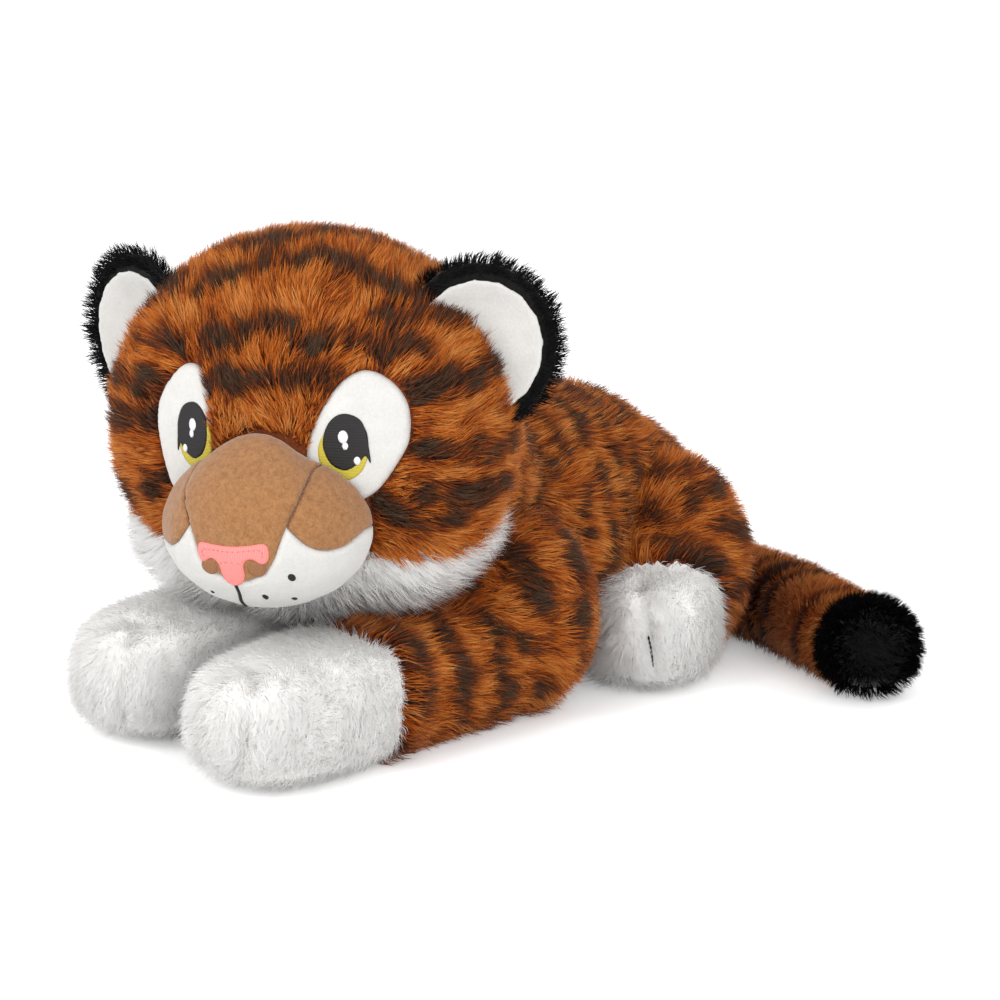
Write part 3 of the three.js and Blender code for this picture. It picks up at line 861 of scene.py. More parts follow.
@dataclass(frozen=True)
class Strokes:
    """Dark stripes drawn as soft strokes along lines on the cloth, in millimetres."""

    lines: tuple
    half: float = 4.8
    soft: float = 3.2
    ragged: float = 1.2
    RAGS = ((1.0, Waves(61, 16.0)), (0.6, Waves(62, 7.0)))

    def __call__(self, points: Array) -> Array:
        """Returns the stripes' darkness at each point, 0 to 1."""
        place = points / MM
        rag = self.ragged * layered(self.RAGS, place)
        dark = np.zeros(len(points))
        for line in self.lines:
            gap = distance_to_line(place, np.array(line, float)) + rag
            dark = np.maximum(dark, 1 - smoothstep(self.half - self.soft, self.half + self.soft, gap))
        return dark


ORANGE_TONE = 0.24
STRIPE_TONE = 0.82
BLOTCHES = ((0.11, Waves(71, 14 * MM)), (0.05, Waves(72, 5 * MM)))
PLAIN_TONE = 0.5
PLAIN_BLOTCHES = ((0.2, Waves(73, 12 * MM)),)


def toned(dark: Array, points: Array) -> Array:
    """Turns stripe darkness into strand tones, with the cloth's own blotches.

    Args:
        dark: Stripe darkness, 0 to 1.
        points: Where the strands are seen, on the skin.

    Returns:
        A tone for each strand.
    """
    return ORANGE_TONE + (STRIPE_TONE - ORANGE_TONE) * np.clip(dark, 0, 1) + layered(BLOTCHES, points)


def lying(points: Array, *parts: Array | float) -> Array:
    """Returns the way that fur lies at each point, from that way's x, y and z parts."""
    return np.stack([np.broadcast_to(part, len(points)) for part in parts], 1)


def plain(points: Array) -> Array:
    """Returns the even tones of unstriped cloth."""
    return PLAIN_TONE + layered(PLAIN_BLOTCHES, points)


# Cloth and stitching laid on a form


def curve(points: Sequence, closed: bool = False, steps: int = 10) -> Array:
    """Draws a smooth line through a few points.

    Args:
        points: The points that it runs through.
        closed: Whether it returns to its start.
        steps: How many points each stretch gets.

    Returns:
        The line's points as an array of rows.
    """
    p = np.asarray(points, float)
    ends = (p[-1], p[:2]) if closed else (2 * p[0] - p[1], 2 * p[-1] - p[-2])
    around = np.vstack([ends[0], p, ends[1]])
    t = np.linspace(0, 1, steps, endpoint=False)[:, None]
    rows = []
    for a, b, c, d in zip(around, around[1:], around[2:], around[3:]):
        bend, turn = (2 * a - 5 * b + 4 * c - d) / 2, (3 * b - a - 3 * c + d) / 2
        rows.append(b + t * ((c - a) / 2 + t * (bend + t * turn)))
    return np.vstack(rows if closed else [*rows, p[-1:]])


def oval(x: float, z: float, half_width: float, half_height: float, count: int = 28) -> Array:
    """Returns the points of an oval round a middle."""
    turn = np.linspace(0, 2 * math.pi, count, endpoint=False)
    return np.stack([x + half_width * np.cos(turn), z + half_height * np.sin(turn)], 1)


def spaced(line: Array, step: float) -> Array:
    """Returns points at even steps round a closed line."""
    ring = np.vstack([line, line[:1]])
    runs = np.concatenate([[0], np.cumsum(np.linalg.norm(np.diff(ring, axis=0), axis=1))])
    places = np.linspace(0, runs[-1], max(FEWEST_POINTS, int(runs[-1] / step)), endpoint=False)
    return np.stack([np.interp(places, runs, ring[:, k]) for k in range(2)], 1)


def inside(ring: Array, points: Array) -> Array:
    """Tells which points of the plane lie inside a closed line."""
    found = np.zeros(len(points), bool)
    for a, b in zip(ring, np.roll(ring, -1, 0)):
        spans = (a[1] > points[:, 1]) != (b[1] > points[:, 1])
        across = (b[0] - a[0]) * (points[:, 1] - a[1]) / (b[1] - a[1] + TINY) + a[0]
        found ^= spans & (points[:, 0] < across)
    return found


class Form:
    """A rounded skin that cloth is laid on, with a flat map wrapped round it from its foremost point."""

    VIEW_FROM = -0.2
    RAY_START = 3.0

    def __init__(self, head: "Head", skin: bpy.types.Object, middle: tuple, radii: tuple) -> None:
        """Reads the skin in the head's own frame.

        Args:
            head: The head that the skin belongs to.
            skin: The skin.
            middle: Its middle in the head's frame, in millimetres.
            radii: Its half width, depth and half height, in millimetres.
        """
        self.head, self.middle, self.radii = head, np.array(middle) * MM, np.array(radii) * MM
        self.tris = triangles(skin)
        self.normals = vertex_normals(skin)
        self.search = BVHTree.FromPolygons(head.local(vertices(skin)).tolist(), self.tris.tolist())
        self.scale = float(self.radii.mean()) / MM

    def flat(self, seen: Sequence) -> Array:
        """Moves points from the face's front view to the flat map, all in millimetres."""
        places = []
        for x, z in np.asarray(seen, float) * MM:
            hit = self.search.ray_cast(Vector((x, self.VIEW_FROM, z)), Vector((0, 1, 0)))[0]
            hit = hit or self.search.find_nearest(Vector((x, self.middle[1], z)))[0]
            way = unit((np.array(hit) - self.middle) / self.radii)
            angle = math.acos(float(np.clip(-way[1], -1, 1)))
            places.append(unit(way[[0, 2]]) * angle * self.scale)
        return np.array(places)

    def rim(self, start: float, end: float, reach: float, count: int = 24) -> Array:
        """Returns an arc of the flat map, at a fixed angle from the foremost point.

        Args:
            start: Where it starts, in degrees up from the animal's left.
            end: Where it ends.
            reach: Its angle from the foremost point, in degrees.
            count: How many points it gets.

        Returns:
            The arc's points.
        """
        turn = np.radians(np.linspace(start, end, count))
        return np.stack([np.cos(turn), np.sin(turn)], 1) * math.radians(reach) * self.scale

    def lift(self, flat: Array) -> tuple[Array, Array]:
        """Wraps points of the flat map onto the form.

        Args:
            flat: Points of the flat map.

        Returns:
            Their places and outward ways in the row frame.
        """
        far = np.linalg.norm(flat, axis=1)
        angle = far / self.scale
        share = np.sin(angle) / np.maximum(far, TINY)
        ways = np.stack([flat[:, 0] * share, -np.cos(angle), flat[:, 1] * share], 1) * self.radii
        places, normals = [], []
        for way in ways:
            start = self.middle + way * self.RAY_START
            hit, _, index, _ = self.search.ray_cast(Vector(start), Vector(-way))
            if index is None:
                hit, _, index, _ = self.search.find_nearest(Vector(self.middle + way))
            places.append(hit)
            normals.append(self.normals[self.tris[index]].mean(0))
        return self.head.world(np.array(places)), unit(np.array(normals))


@dataclass
class Patch:
    """A piece of cloth or a block of stitching, cut to an outline and laid on a form."""

    name: str
    outline: Array
    top: float
    thickness: float = 2.4
    drop: float = 1.1
    roll: float = 1.8
    step: float = 1.3
    edge_gap: float = 0.55

    def make(self, form: Form, material: bpy.types.Material) -> bpy.types.Object:
        """Builds the piece as one closed body with rolled edges.

        Args:
            form: The form it lies on.
            material: Its finish.

        Returns:
            The piece.
        """
        ring = spaced(self.outline, self.step)
        low, high = ring.min(0), ring.max(0)
        columns, lines = (np.arange(low[k], high[k], self.step) for k in range(2))
        grid = np.stack(np.meshgrid(columns, lines), -1)
        grid[1::2, :, 0] += self.step / 2
        grid = grid.reshape(-1, 2)
        closed = np.vstack([ring, ring[:1]])
        clear = distance_to_line(grid, closed) > self.step * self.edge_gap
        grid = grid[inside(ring, grid) & clear]
        flat = np.vstack([ring, grid])
        edges = [list(range(len(ring)))]
        laid = delaunay_2d_cdt([Vector(p) for p in flat], [], edges, 1, OUTLINE_GRAIN)
        flat, faces = np.array([tuple(p) for p in laid[0]]), [list(f) for f in laid[2]]
        edge = np.clip(distance_to_line(flat, closed) / self.roll, 0, 1)
        fall = self.drop * (1 - np.sqrt(1 - (1 - edge) ** 2))
        place, normal = form.lift(flat)
        upper = place + normal * ((self.top - fall) * MM)[:, None]
        lower = place + normal * (self.top - self.thickness) * MM
        count, around = len(flat), len(ring)
        walls = [[k, (k + 1) % around, (k + 1) % around + count, k + count] for k in range(around)]
        faces += [[c + count for c in reversed(f)] for f in faces] + walls
        obj = mesh_object(self.name, np.vstack([upper, lower]), faces)
        uv = obj.data.uv_layers.new(name="flat")
        corners = read(obj.data.loops, "vertex_index", np.int32, 1)
        uv.data.foreach_set("uv", np.vstack([flat, flat])[corners].astype(np.float32).ravel())
        use(obj)
        edit_all(bpy.ops.mesh.normals_make_consistent, inside=False)
        bpy.ops.object.shade_smooth()
        obj.data.materials.append(material)
        return obj


def from_lowest(face: list[int]) -> list[int]:
    """Returns a face's corners in the same turn, from the lowest index on."""
    start = face.index(min(face))
    return face[start:] + face[:start]


def stitches(
    name: str, middle: Array, normal: Array, along: Array, length: float, half: float
) -> bpy.types.Object:
    """Sews single raised stitches.

    Args:
        name: The row's name.
        middle: The stitches' middles.
        normal: The outward way at each.
        along: The way that each runs.
        length: Their length in millimetres.
        half: Their half thickness in millimetres.

    Returns:
        The stitches as one object.
    """
    across = unit(np.cross(normal, along))
    deselect()
    bpy.ops.mesh.primitive_uv_sphere_add(segments=STITCH_SIDES, ring_count=STITCH_RINGS, radius=1)
    bead = bpy.context.view_layer.objects.active
    shape = vertices(bead)
    sides = sorted(from_lowest(list(face.vertices)) for face in bead.data.polygons)
    bpy.data.objects.remove(bead)
    points, faces = [], []
    for m, n, a, c in zip(middle, normal, along, across):
        faces += [[v + len(points) for v in f] for f in sides]
        wide, high, long = shape[:, :1] * c * half, shape[:, 1:2] * n * half, shape[:, 2:] * a * length / 2
        points += (m + (wide + high + long) * MM).tolist()
    obj = mesh_object(name, points, faces)
    use(obj)
    bpy.ops.object.shade_smooth()
    return obj


def thread(name: str, form: Form, line: Array, top: float, length: float, half: float) -> bpy.types.Object:
    """Sews a row of single stitches along a line of a form's flat map, this high over the form."""
    runs = np.concatenate([[0], np.cumsum(np.linalg.norm(np.diff(line, axis=0), axis=1))])
    count = max(2, int(runs[-1] / (length * STITCH_PITCH)))
    places = (np.arange(count) + 0.5) * runs[-1] / count
    starts, stops = places - length / 2, places + length / 2
    ends = [np.stack([np.interp(at, runs, line[:, k]) for k in range(2)], 1) for at in (starts, stops)]
    middle, normal = form.lift((ends[0] + ends[1]) / 2)
    along = unit(form.lift(ends[1])[0] - form.lift(ends[0])[0])
    return stitches(name, middle + normal * top * MM, normal, along, length, half)


# Sub-assemblies


@dataclass
class Torso:
    """The body bolster with its shoulder dome."""

    stripe_pitch: float = 11.5
    first_stripe: float = 26.6
    stripe_tilt: float = 0.2
    tilt_middle: float = 80.0
    stripe_edge: float = 0.45
    light_band = Strokes((((43, -2, 95), (51, -5, 73), (52, 5, 44), (53, 7, 20)),), half=4.0, ragged=1.5)
    side_lie: float = 0.35
    fall: float = -0.25
    rump_fall: float = -0.3
    rump_from: float = 0.1
    WARPS = ((3.2, Waves(31, 40.0)), (0.8, Waves(36, 14.0)))
    BREAKS = Waves(37, 26.0)
    BREAK_RANGE = (-1.7, -0.7)

    def comb(self, points: Array) -> Array:
        """Returns the way that the body's fur lies: towards the tail and down the sides."""
        fall = self.fall + self.rump_fall * (points[:, 1] > self.rump_from)
        return lying(points, np.sign(points[:, 0]) * self.side_lie, 1.0, fall)

    def shade(self, points: Array) -> Array:
        """Returns narrow curved upright stripes, with one light band behind the shoulder."""
        place = points / MM
        tilt = self.stripe_tilt * (self.tilt_middle - place[:, 2])
        level = place[:, 1] - self.first_stripe + tilt + layered(self.WARPS, place)
        dark = np.cos(level / self.stripe_pitch * 2 * math.pi)
        broken = smoothstep(*self.BREAK_RANGE, self.BREAKS(place))
        folded = np.abs(points[:, :1]) * (1, 0, 0) + points * (0, 1, 1)
        dark = smoothstep(-self.stripe_edge, self.stripe_edge, dark) * broken
        return toned(dark * (1 - self.light_band(folded)), points)

    def build(self, tailor: Tailor) -> None:
        """Makes the body's skin and fur."""
        skin = Skin("torso_skin", "torso", ("torso_cover", "torso_stuffing"), "stuffing")
        fur = FurPanel("torso_fur", "torso", ("torso_cover",), Coat.STRIPED, self.comb, self.shade)
        tailor.sew(skin, [fur])
        plug = Skin("neck_skin", "neck", ("neck_stuffing",), "stuffing", voxel=2, smooth=4, inset=0.6)
        inner = plug.make()
        inner.data.materials.append(STRIPED_BACKING.make())
        dressed(inner, "neck", "stuffing", "neck_stuffing")


@dataclass
class Leg:
    """What the front and back legs share: a striped upper part and a white end with toe lines."""

    side: str
    end_trim = None
    END_PILE = {
        "pile": 7.5, "density": 2.4, "width": 0.32, "root_lean": 42, "tip_lean": 70,
        "gather": 0.08, "stray": 0.12, "skin_share": 0.94,
    }

    @property
    def way(self) -> int:
        """Returns 1 for the animal's left side and -1 for its right."""
        return 1 if self.side == "left" else -1

    def shade(self, points: Array) -> Array:
        """Returns the leg's stripes."""
        return toned(self.stripes(points * (self.way, 1, 1)), points)

    def sew(self, tailor: Tailor, limb: str, end: str, upper: str, covers: tuple, lines: tuple) -> None:
        """Makes the leg's skin and its two furs.

        Args:
            tailor: The tailor that sews it.
            limb: The leg's body, without its side.
            end: The name of its white end.
            upper: The name of the fur above that.
            covers: The CAD covers of that fur.
            lines: The grooves between the toes.
        """
        body, cover = f"{limb}_{self.side}", f"{end}_cover_{self.side}"
        nodes = (cover, *covers, f"{limb}_stuffing_{self.side}")
        skin = Skin(f"{body}_skin", body, nodes, "stuffing", grooves=lines, squared=(cover,))
        tailor.sew(skin, [
            FurPanel(f"{end}_fur_{self.side}", body, (cover,), Coat.WHITE, self.end_comb, plain,
                     trim=self.end_trim, **self.END_PILE),
            FurPanel(f"{upper}_fur_{self.side}", body, covers, Coat.STRIPED, self.comb, self.shade),
        ])


@dataclass
class Foreleg(Leg):
    """One front leg: shoulder, forearm and a white paw."""

    lie: tuple = (0.7, 0.7, -0.25)
    paw_lie: tuple = (20.0, -0.6, -0.35)
    paw_middle: float = 0.041
    toe_reach: float = -206.8
    toe_lines: tuple = (
        ((42, -182, 51), (50, -192, 46), (53, -199, 38), (54, -203, 29), (52, -203, 18), (49, -200, 12)),
        ((36, -184, 51), (33, -194, 46), (31, -200, 38), (30, -203, 29), (31, -203, 18), (33, -200, 12)),
    )
    stripes = Strokes((
        ((41, -10, 91), (61, -22, 73), (74, -28, 55), (75, -26, 36), (74, -26, 12)),
        ((54, -50, 77), (67, -51, 64), (75, -46, 50), (77, -42, 36)),
        ((50, -66, 62), (62, -70, 46), (68, -71, 15)),
        ((65, -71, 41), (73, -52, 38)),
        ((38, -92, 60), (55, -90, 50), (66, -92, 32), (68, -92, 14)),
        ((40, -112, 56), (54, -114, 48), (66, -112, 34), (68, -116, 24)),
        ((70, -64, 23), (71, -43, 18)),
        ((20, -70, 62), (12, -84, 55)),
        ((20, -100, 55), (14, -108, 46)),
    ), half=5.2)

    def comb(self, points: Array) -> Array:
        """Returns the way that the arm's fur lies: back and outwards."""
        x, y, z = self.lie
        return lying(points, x * self.way, y, z)

    def end_comb(self, points: Array) -> Array:
        """Returns the way that the paw's fur lies: to the toes and down."""
        x, y, z = self.paw_lie
        return lying(points, (points[:, 0] - self.paw_middle * self.way) * x, y, z)

    def build(self, tailor: Tailor) -> None:
        """Makes the leg's skin and fur."""
        paw = vertices(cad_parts[f"forepaw_cover_{self.side}"])
        reach = paw[:, 1].min() / MM - self.toe_reach
        lines = tuple(tuple((x * self.way, y + reach, z) for x, y, z in line) for line in self.toe_lines)
        arm = (f"shoulder_cover_{self.side}", f"foreleg_cover_{self.side}")
        self.sew(tailor, "foreleg", "forepaw", "foreleg", arm, lines)


@dataclass
class Hindleg(Leg):
    """One back leg: a round haunch and a white foot."""

    toe_line: tuple = ((68, 19, 48), (77, 11, 41), (82, 9, 34), (83, 9, 27), (84, 10, 21), (82, 13, 13))
    stitch_line: tuple = ((82.8, 8.8, 28), (83.4, 9.4, 24), (83.6, 10, 20), (83, 11.4, 16))
    stitch_way: tuple = (0.78, -0.62, 0.05)
    stitch_sink: float = 0.3
    stitch_length: float = 2.2
    stitch_half: float = 0.5
    fluff: float = 0.7
    fluff_way: tuple = (0.74, 0.67)
    fluff_reach: tuple = (64.0, 50.0)
    parting: float = 0.42
    parting_reach: tuple = (0.5, 5.0)
    lie: tuple = (0.5, -0.2)
    swirl: tuple = (12.0, -14.0)
    swirl_middle: tuple = (0.06, 0.05)
    foot_lie: tuple = (0.6, -0.4, -0.3)
    inner_turn: tuple = (-1.1, -0.3)
    stripes = Strokes((
        ((44, 45, 88), (52, 50, 85), (60, 64, 84), (60, 76, 82)),
        ((70, 50, 74), (67, 56, 75), (64, 72, 76), (56, 90, 76)),
        ((58, 30, 62), (66, 38, 60), (76, 48, 54), (80, 58, 46)),
        ((52, 30, 80), (58, 38, 72), (68, 40, 66)),
        ((60, 92, 66), (50, 104, 60), (40, 112, 50)),
        ((76, 64, 62), (72, 76, 60), (64, 90, 50)),
        ((78, 62, 36), (74, 76, 36), (62, 96, 30)),
        ((44, 70, 96), (40, 88, 92), (30, 104, 84)),
    ), half=5.5)

    def comb(self, points: Array) -> Array:
        """Returns the swirl of the haunch's fur."""
        along, down = self.lie
        middle_y, middle_z = self.swirl_middle
        along = along + (points[:, 2] - middle_z) * self.swirl[0]
        return lying(points, 0.0, along, down + (points[:, 1] - middle_y) * self.swirl[1])

    def end_comb(self, points: Array) -> Array:
        """Returns the way that the foot's fur lies."""
        x, y, z = self.foot_lie
        across, along = self.inner_turn
        inner = self.inner_side(points)
        return lying(points, (x + across * inner) * self.way, y + along * inner, z)

    def inner_side(self, points: Array) -> Array:
        """Returns 1 on the foot's fluffier side before the toe line and 0 past it."""
        across, along = self.fluff_way
        level = (points[:, 0] * self.way * across + points[:, 1] * along) / MM
        return smoothstep(*self.fluff_reach, level)

    def end_trim(self, points: Array, normals: Array) -> Array:
        """Parts the fur along the toe line and lets it grow longer on the foot's fluffier side."""
        gap = distance_to_line(points, np.array(self.toe_line) * (self.way * MM, MM, MM))
        near, far = self.parting_reach
        parted = self.parting + (1 - self.parting) * smoothstep(near * MM, far * MM, gap)
        return parted * (1 + self.fluff * self.inner_side(points))

    def toe_stitch(self) -> None:
        """Sews the black stitch that draws in the toe line."""
        flip = np.array([self.way, 1, 1])
        line = curve(self.stitch_line, steps=2) * flip * MM
        normal = np.tile(unit(np.array(self.stitch_way) * flip), (len(line), 1))
        along = unit(np.gradient(line, axis=0))
        middle = line - normal * self.stitch_sink * MM
        name = f"toe_stitch_{self.side}"
        row = stitches(name, middle, normal, along, self.stitch_length, self.stitch_half)
        row.data.materials.append(BLACK_THREAD.make())
        dressed(row, f"hindleg_{self.side}", "black_stitching")

    def build(self, tailor: Tailor) -> None:
        """Makes the leg's skin and fur and its toe stitch."""
        lines = (tuple((x * self.way, y, z) for x, y, z in self.toe_line),)
        self.sew(tailor, "hindleg", "hindfoot", "haunch", (f"haunch_cover_{self.side}",), lines)
        self.toe_stitch()


@dataclass
class Tail:
    """The ringed tail and its black tuft."""

    rings: tuple = ((20.0, 2.2), (32.0, 2.6), (42.5, 3.0), (71.5, 2.2))
    ring_soft: float = 2.0
    ring_way: tuple = (0.93, -0.36)
    lie: tuple = (1.0, -0.4, 0.0)
    # painted light: how much lighter the fur between the rings is made, to offset the shade the tail falls
    # in
    painted_light: float = 0.27
    WARPS = ((1.2, Waves(34, 24.0)),)

    def comb(self, points: Array) -> Array:
        """Returns the way along the tail."""
        return lying(points, *self.lie)

    def shade(self, points: Array) -> Array:
        """Returns the tail's rings, with painted light between them: that fur is made lighter to offset the
        shade the tail falls in.
        """
        place = points / MM
        x, y = self.ring_way
        level = place[:, 0] * x + place[:, 1] * y + layered(self.WARPS, place)
        dark = np.max([band(level, centre, half, self.ring_soft) for centre, half in self.rings], 0)
        # painted light: the fur between the rings is lifted towards the lightest orange to stand in for
        # light
        return toned(dark, points) - self.painted_light * (1 - dark)

    def build(self, tailor: Tailor) -> None:
        """Makes the tail's skin and fur."""
        skin = Skin("tail_skin", "tail", ("tail_cover", "tail_tip_cover", "tail_stuffing"), "stuffing")
        tailor.sew(skin, [
            FurPanel("tail_fur", "tail", ("tail_cover",), Coat.STRIPED, self.comb, self.shade, pile=9,
                     density=3.2, width=0.36, root_lean=14, tip_lean=44, gather=0.12, stray=0),
            FurPanel("tail_tip_fur", "tail", ("tail_tip_cover",), Coat.BLACK, self.comb, plain, pile=8,
                     root_lean=12, tip_lean=42, stray=0.1),
        ])


@dataclass
class Head:
    """The head ball with its ruff, face and ears."""

    y: float = -105.0
    z: float = 127.0
    half_width: float = 82.0
    half_height: float = 77.0
    front: float = 54.0
    back: float = 76.0
    tip: float = -3.5
    ruff_swell: float = 5.0
    ruff_swell_right: float = 4.0
    ruff_swell_z: tuple = (-30.0, -48.0)
    ruff_swell_x: tuple = (24.0, 48.0)
    ruff_cover: float = 4.0
    ruff_cover_right: float = 6.0
    creep_right: tuple = (-10.0, -45.0)
    creep_left: tuple = (42.0, 64.0)
    turn: float = 21.5
    trim_share: float = 0.5
    trim_reach: float = 10.0
    comb_from: tuple = (0.0, -95.0, -30.0)
    ruff_lie: tuple = (1.6, 0.8, -0.03)
    stripes = Strokes((
        ((-31, -25, 61), (-18, -22, 68), (3, -18, 72), (20, -15, 71), (39, -18, 62), (61, -8, 49)),
        ((-24, -8, 72), (-4, -6, 76), (15, 8, 76), (34, 14, 68)),
        ((-62, -26, 40), (-45, -34, 41), (-29, -41, 41), (-20, -40, 47), (2, -40, 51), (12, -40, 51)),
        ((14, -42, 45), (28, -39, 45), (49, -32, 41), (56, -24, 40)),
        ((46, -26, 50), (58, -12, 51), (64, 2, 44)),
        ((-26, -48, 27), (-13, -48, 32), (14, -48, 31), (29, -45, 33)),
        ((54, -36, 25), (66, -26, 25), (76, -5, 25), (76, 10, 24)),
        ((56, -39, 2), (68, -28, 0), (79, -10, -4), (80, 12, -5)),
        ((45, -42, -18), (56, -32, -31), (68, -20, -29)),
        ((62, -30, -16), (74, -14, -19), (78, 6, -22)),
        ((-50, -38, 26), (-67, -26, 24), (-76, -6, 22)),
        ((-50, -40, 12), (-66, -30, 9), (-78, -8, 6)),
        ((-48, -42, -14), (-62, -32, -20), (-74, -14, -24)),
        ((-44, -14, 58), (-60, -2, 46), (-70, 10, 34)),
        ((-60, 30, 48), (-30, 36, 64), (0, 36, 70), (30, 36, 64), (60, 30, 48)),
        ((-68, 44, 24), (-36, 56, 46), (0, 58, 52), (36, 56, 46), (68, 44, 24)),
        ((-66, 52, 2), (-36, 66, 24), (0, 70, 32), (36, 66, 24), (66, 52, 2)),
        ((-64, 52, -20), (-34, 72, 2), (0, 76, 10), (34, 72, 2), (64, 52, -20)),
    ), half=5.3)
    frame_matrix: Matrix = field(init=False)

    def __post_init__(self) -> None:
        """Sets the head's own frame, in metres."""
        place = Matrix.Translation((0, self.y * MM, self.z * MM))
        turn, tip = math.radians(self.turn), math.radians(self.tip)
        self.frame_matrix = place @ (Matrix.Rotation(turn, 4, "Z") @ Matrix.Rotation(tip, 4, "Y"))

    def local(self, points: Array) -> Array:
        """Returns points in the head's own frame."""
        inverse = np.array(self.frame_matrix.inverted())
        return points @ inverse[:3, :3].T + inverse[:3, 3]

    def world(self, points: Array) -> Array:
        """Returns points of the head's own frame in the row frame."""
        matrix = np.array(self.frame_matrix)
        return points @ matrix[:3, :3].T + matrix[:3, 3]

    def outward(self, ways: Array) -> Array:
        """Turns directions of the head's own frame into the row frame."""
        return ways @ np.array(self.frame_matrix)[:3, :3].T

    def ruff_creep(self, points: Array) -> Array:
        """Returns how far the ruff's long fur covers the cheeks above it, most on the animal's right."""
        x = self.local(points)[:, 0] / MM
        right = smoothstep(*self.creep_right, x)
        left = smoothstep(*self.creep_left, x)
        return (self.ruff_cover + self.ruff_cover_right * right - self.ruff_cover * left) * MM

    def ruff_comb(self, points: Array) -> Array:
        """Returns the way that the ruff's fur lies: out to the sides and a little down."""
        local = self.local(points)
        x, y, z = self.ruff_lie
        return self.outward(unit(lying(points, local[:, 0] * x, local[:, 1] * y, z)))

    def comb(self, points: Array) -> Array:
        """Returns the way that the head's fur lies: outwards from the nose."""
        return self.outward(unit(self.local(points) - np.array(self.comb_from) * MM))

    def shade(self, points: Array) -> Array:
        """Returns the bands across the forehead and cheeks."""
        return toned(self.stripes(self.local(points)), points)

    def trim(self, search: BVHTree, linings: BVHTree) -> Callable[[Array, Array], Array]:
        """Returns a rule that clips the fur short round the face's cloth pieces."""
        def share(points: Array, normals: Array) -> Array:
            gap = distance_to(search, points)
            clipped = self.trim_share + (1 - self.trim_share) * smoothstep(0, self.trim_reach * MM, gap)
            return np.where(under(search, points, normals) | under(linings, points, normals), 0, clipped)
        return share

    def build(self, tailor: Tailor) -> None:
        """Makes the head's skin, its face and ears and then the fur around them."""
        skin = Skin("head_skin", "head", ("head_cover", "ruff_cover", "head_stuffing"), "stuffing")
        obj = skin.make()
        points = vertices(obj)
        local = self.local(points) / MM
        below = smoothstep(*self.ruff_swell_z, local[:, 2])
        beside = smoothstep(*self.ruff_swell_x, np.abs(local[:, 0]))
        right = smoothstep(*self.creep_right, local[:, 0])
        swell = below * beside * (self.ruff_swell + self.ruff_swell_right * right)
        set_vertices(obj, points + vertex_normals(obj) * (swell * MM)[:, None])
        form = Form(self, obj, (0, 0, 0), (self.half_width, self.front, self.half_height))
        face = Muzzle(self).build()
        for side in ("left", "right"):
            face.append(Eye(self, side).build(form))
            Ear(self, side).build(tailor)
        linings = tree("ear_lining_left", "ear_lining_right")
        trim = self.trim(tree(*face), linings)
        tailor.cover(obj, skin, [
            FurPanel("head_fur", "head", ("head_cover",), Coat.STRIPED, self.comb, self.shade, trim=trim),
            FurPanel("ruff_fur", "head", ("ruff_cover",), Coat.WHITE, self.ruff_comb, plain, pile=13,
                     density=2.0, width=0.36, root_lean=20, tip_lean=50, gather=0.3, skin_share=0.85,
                     creep=self.ruff_creep, trim=trim),
        ])


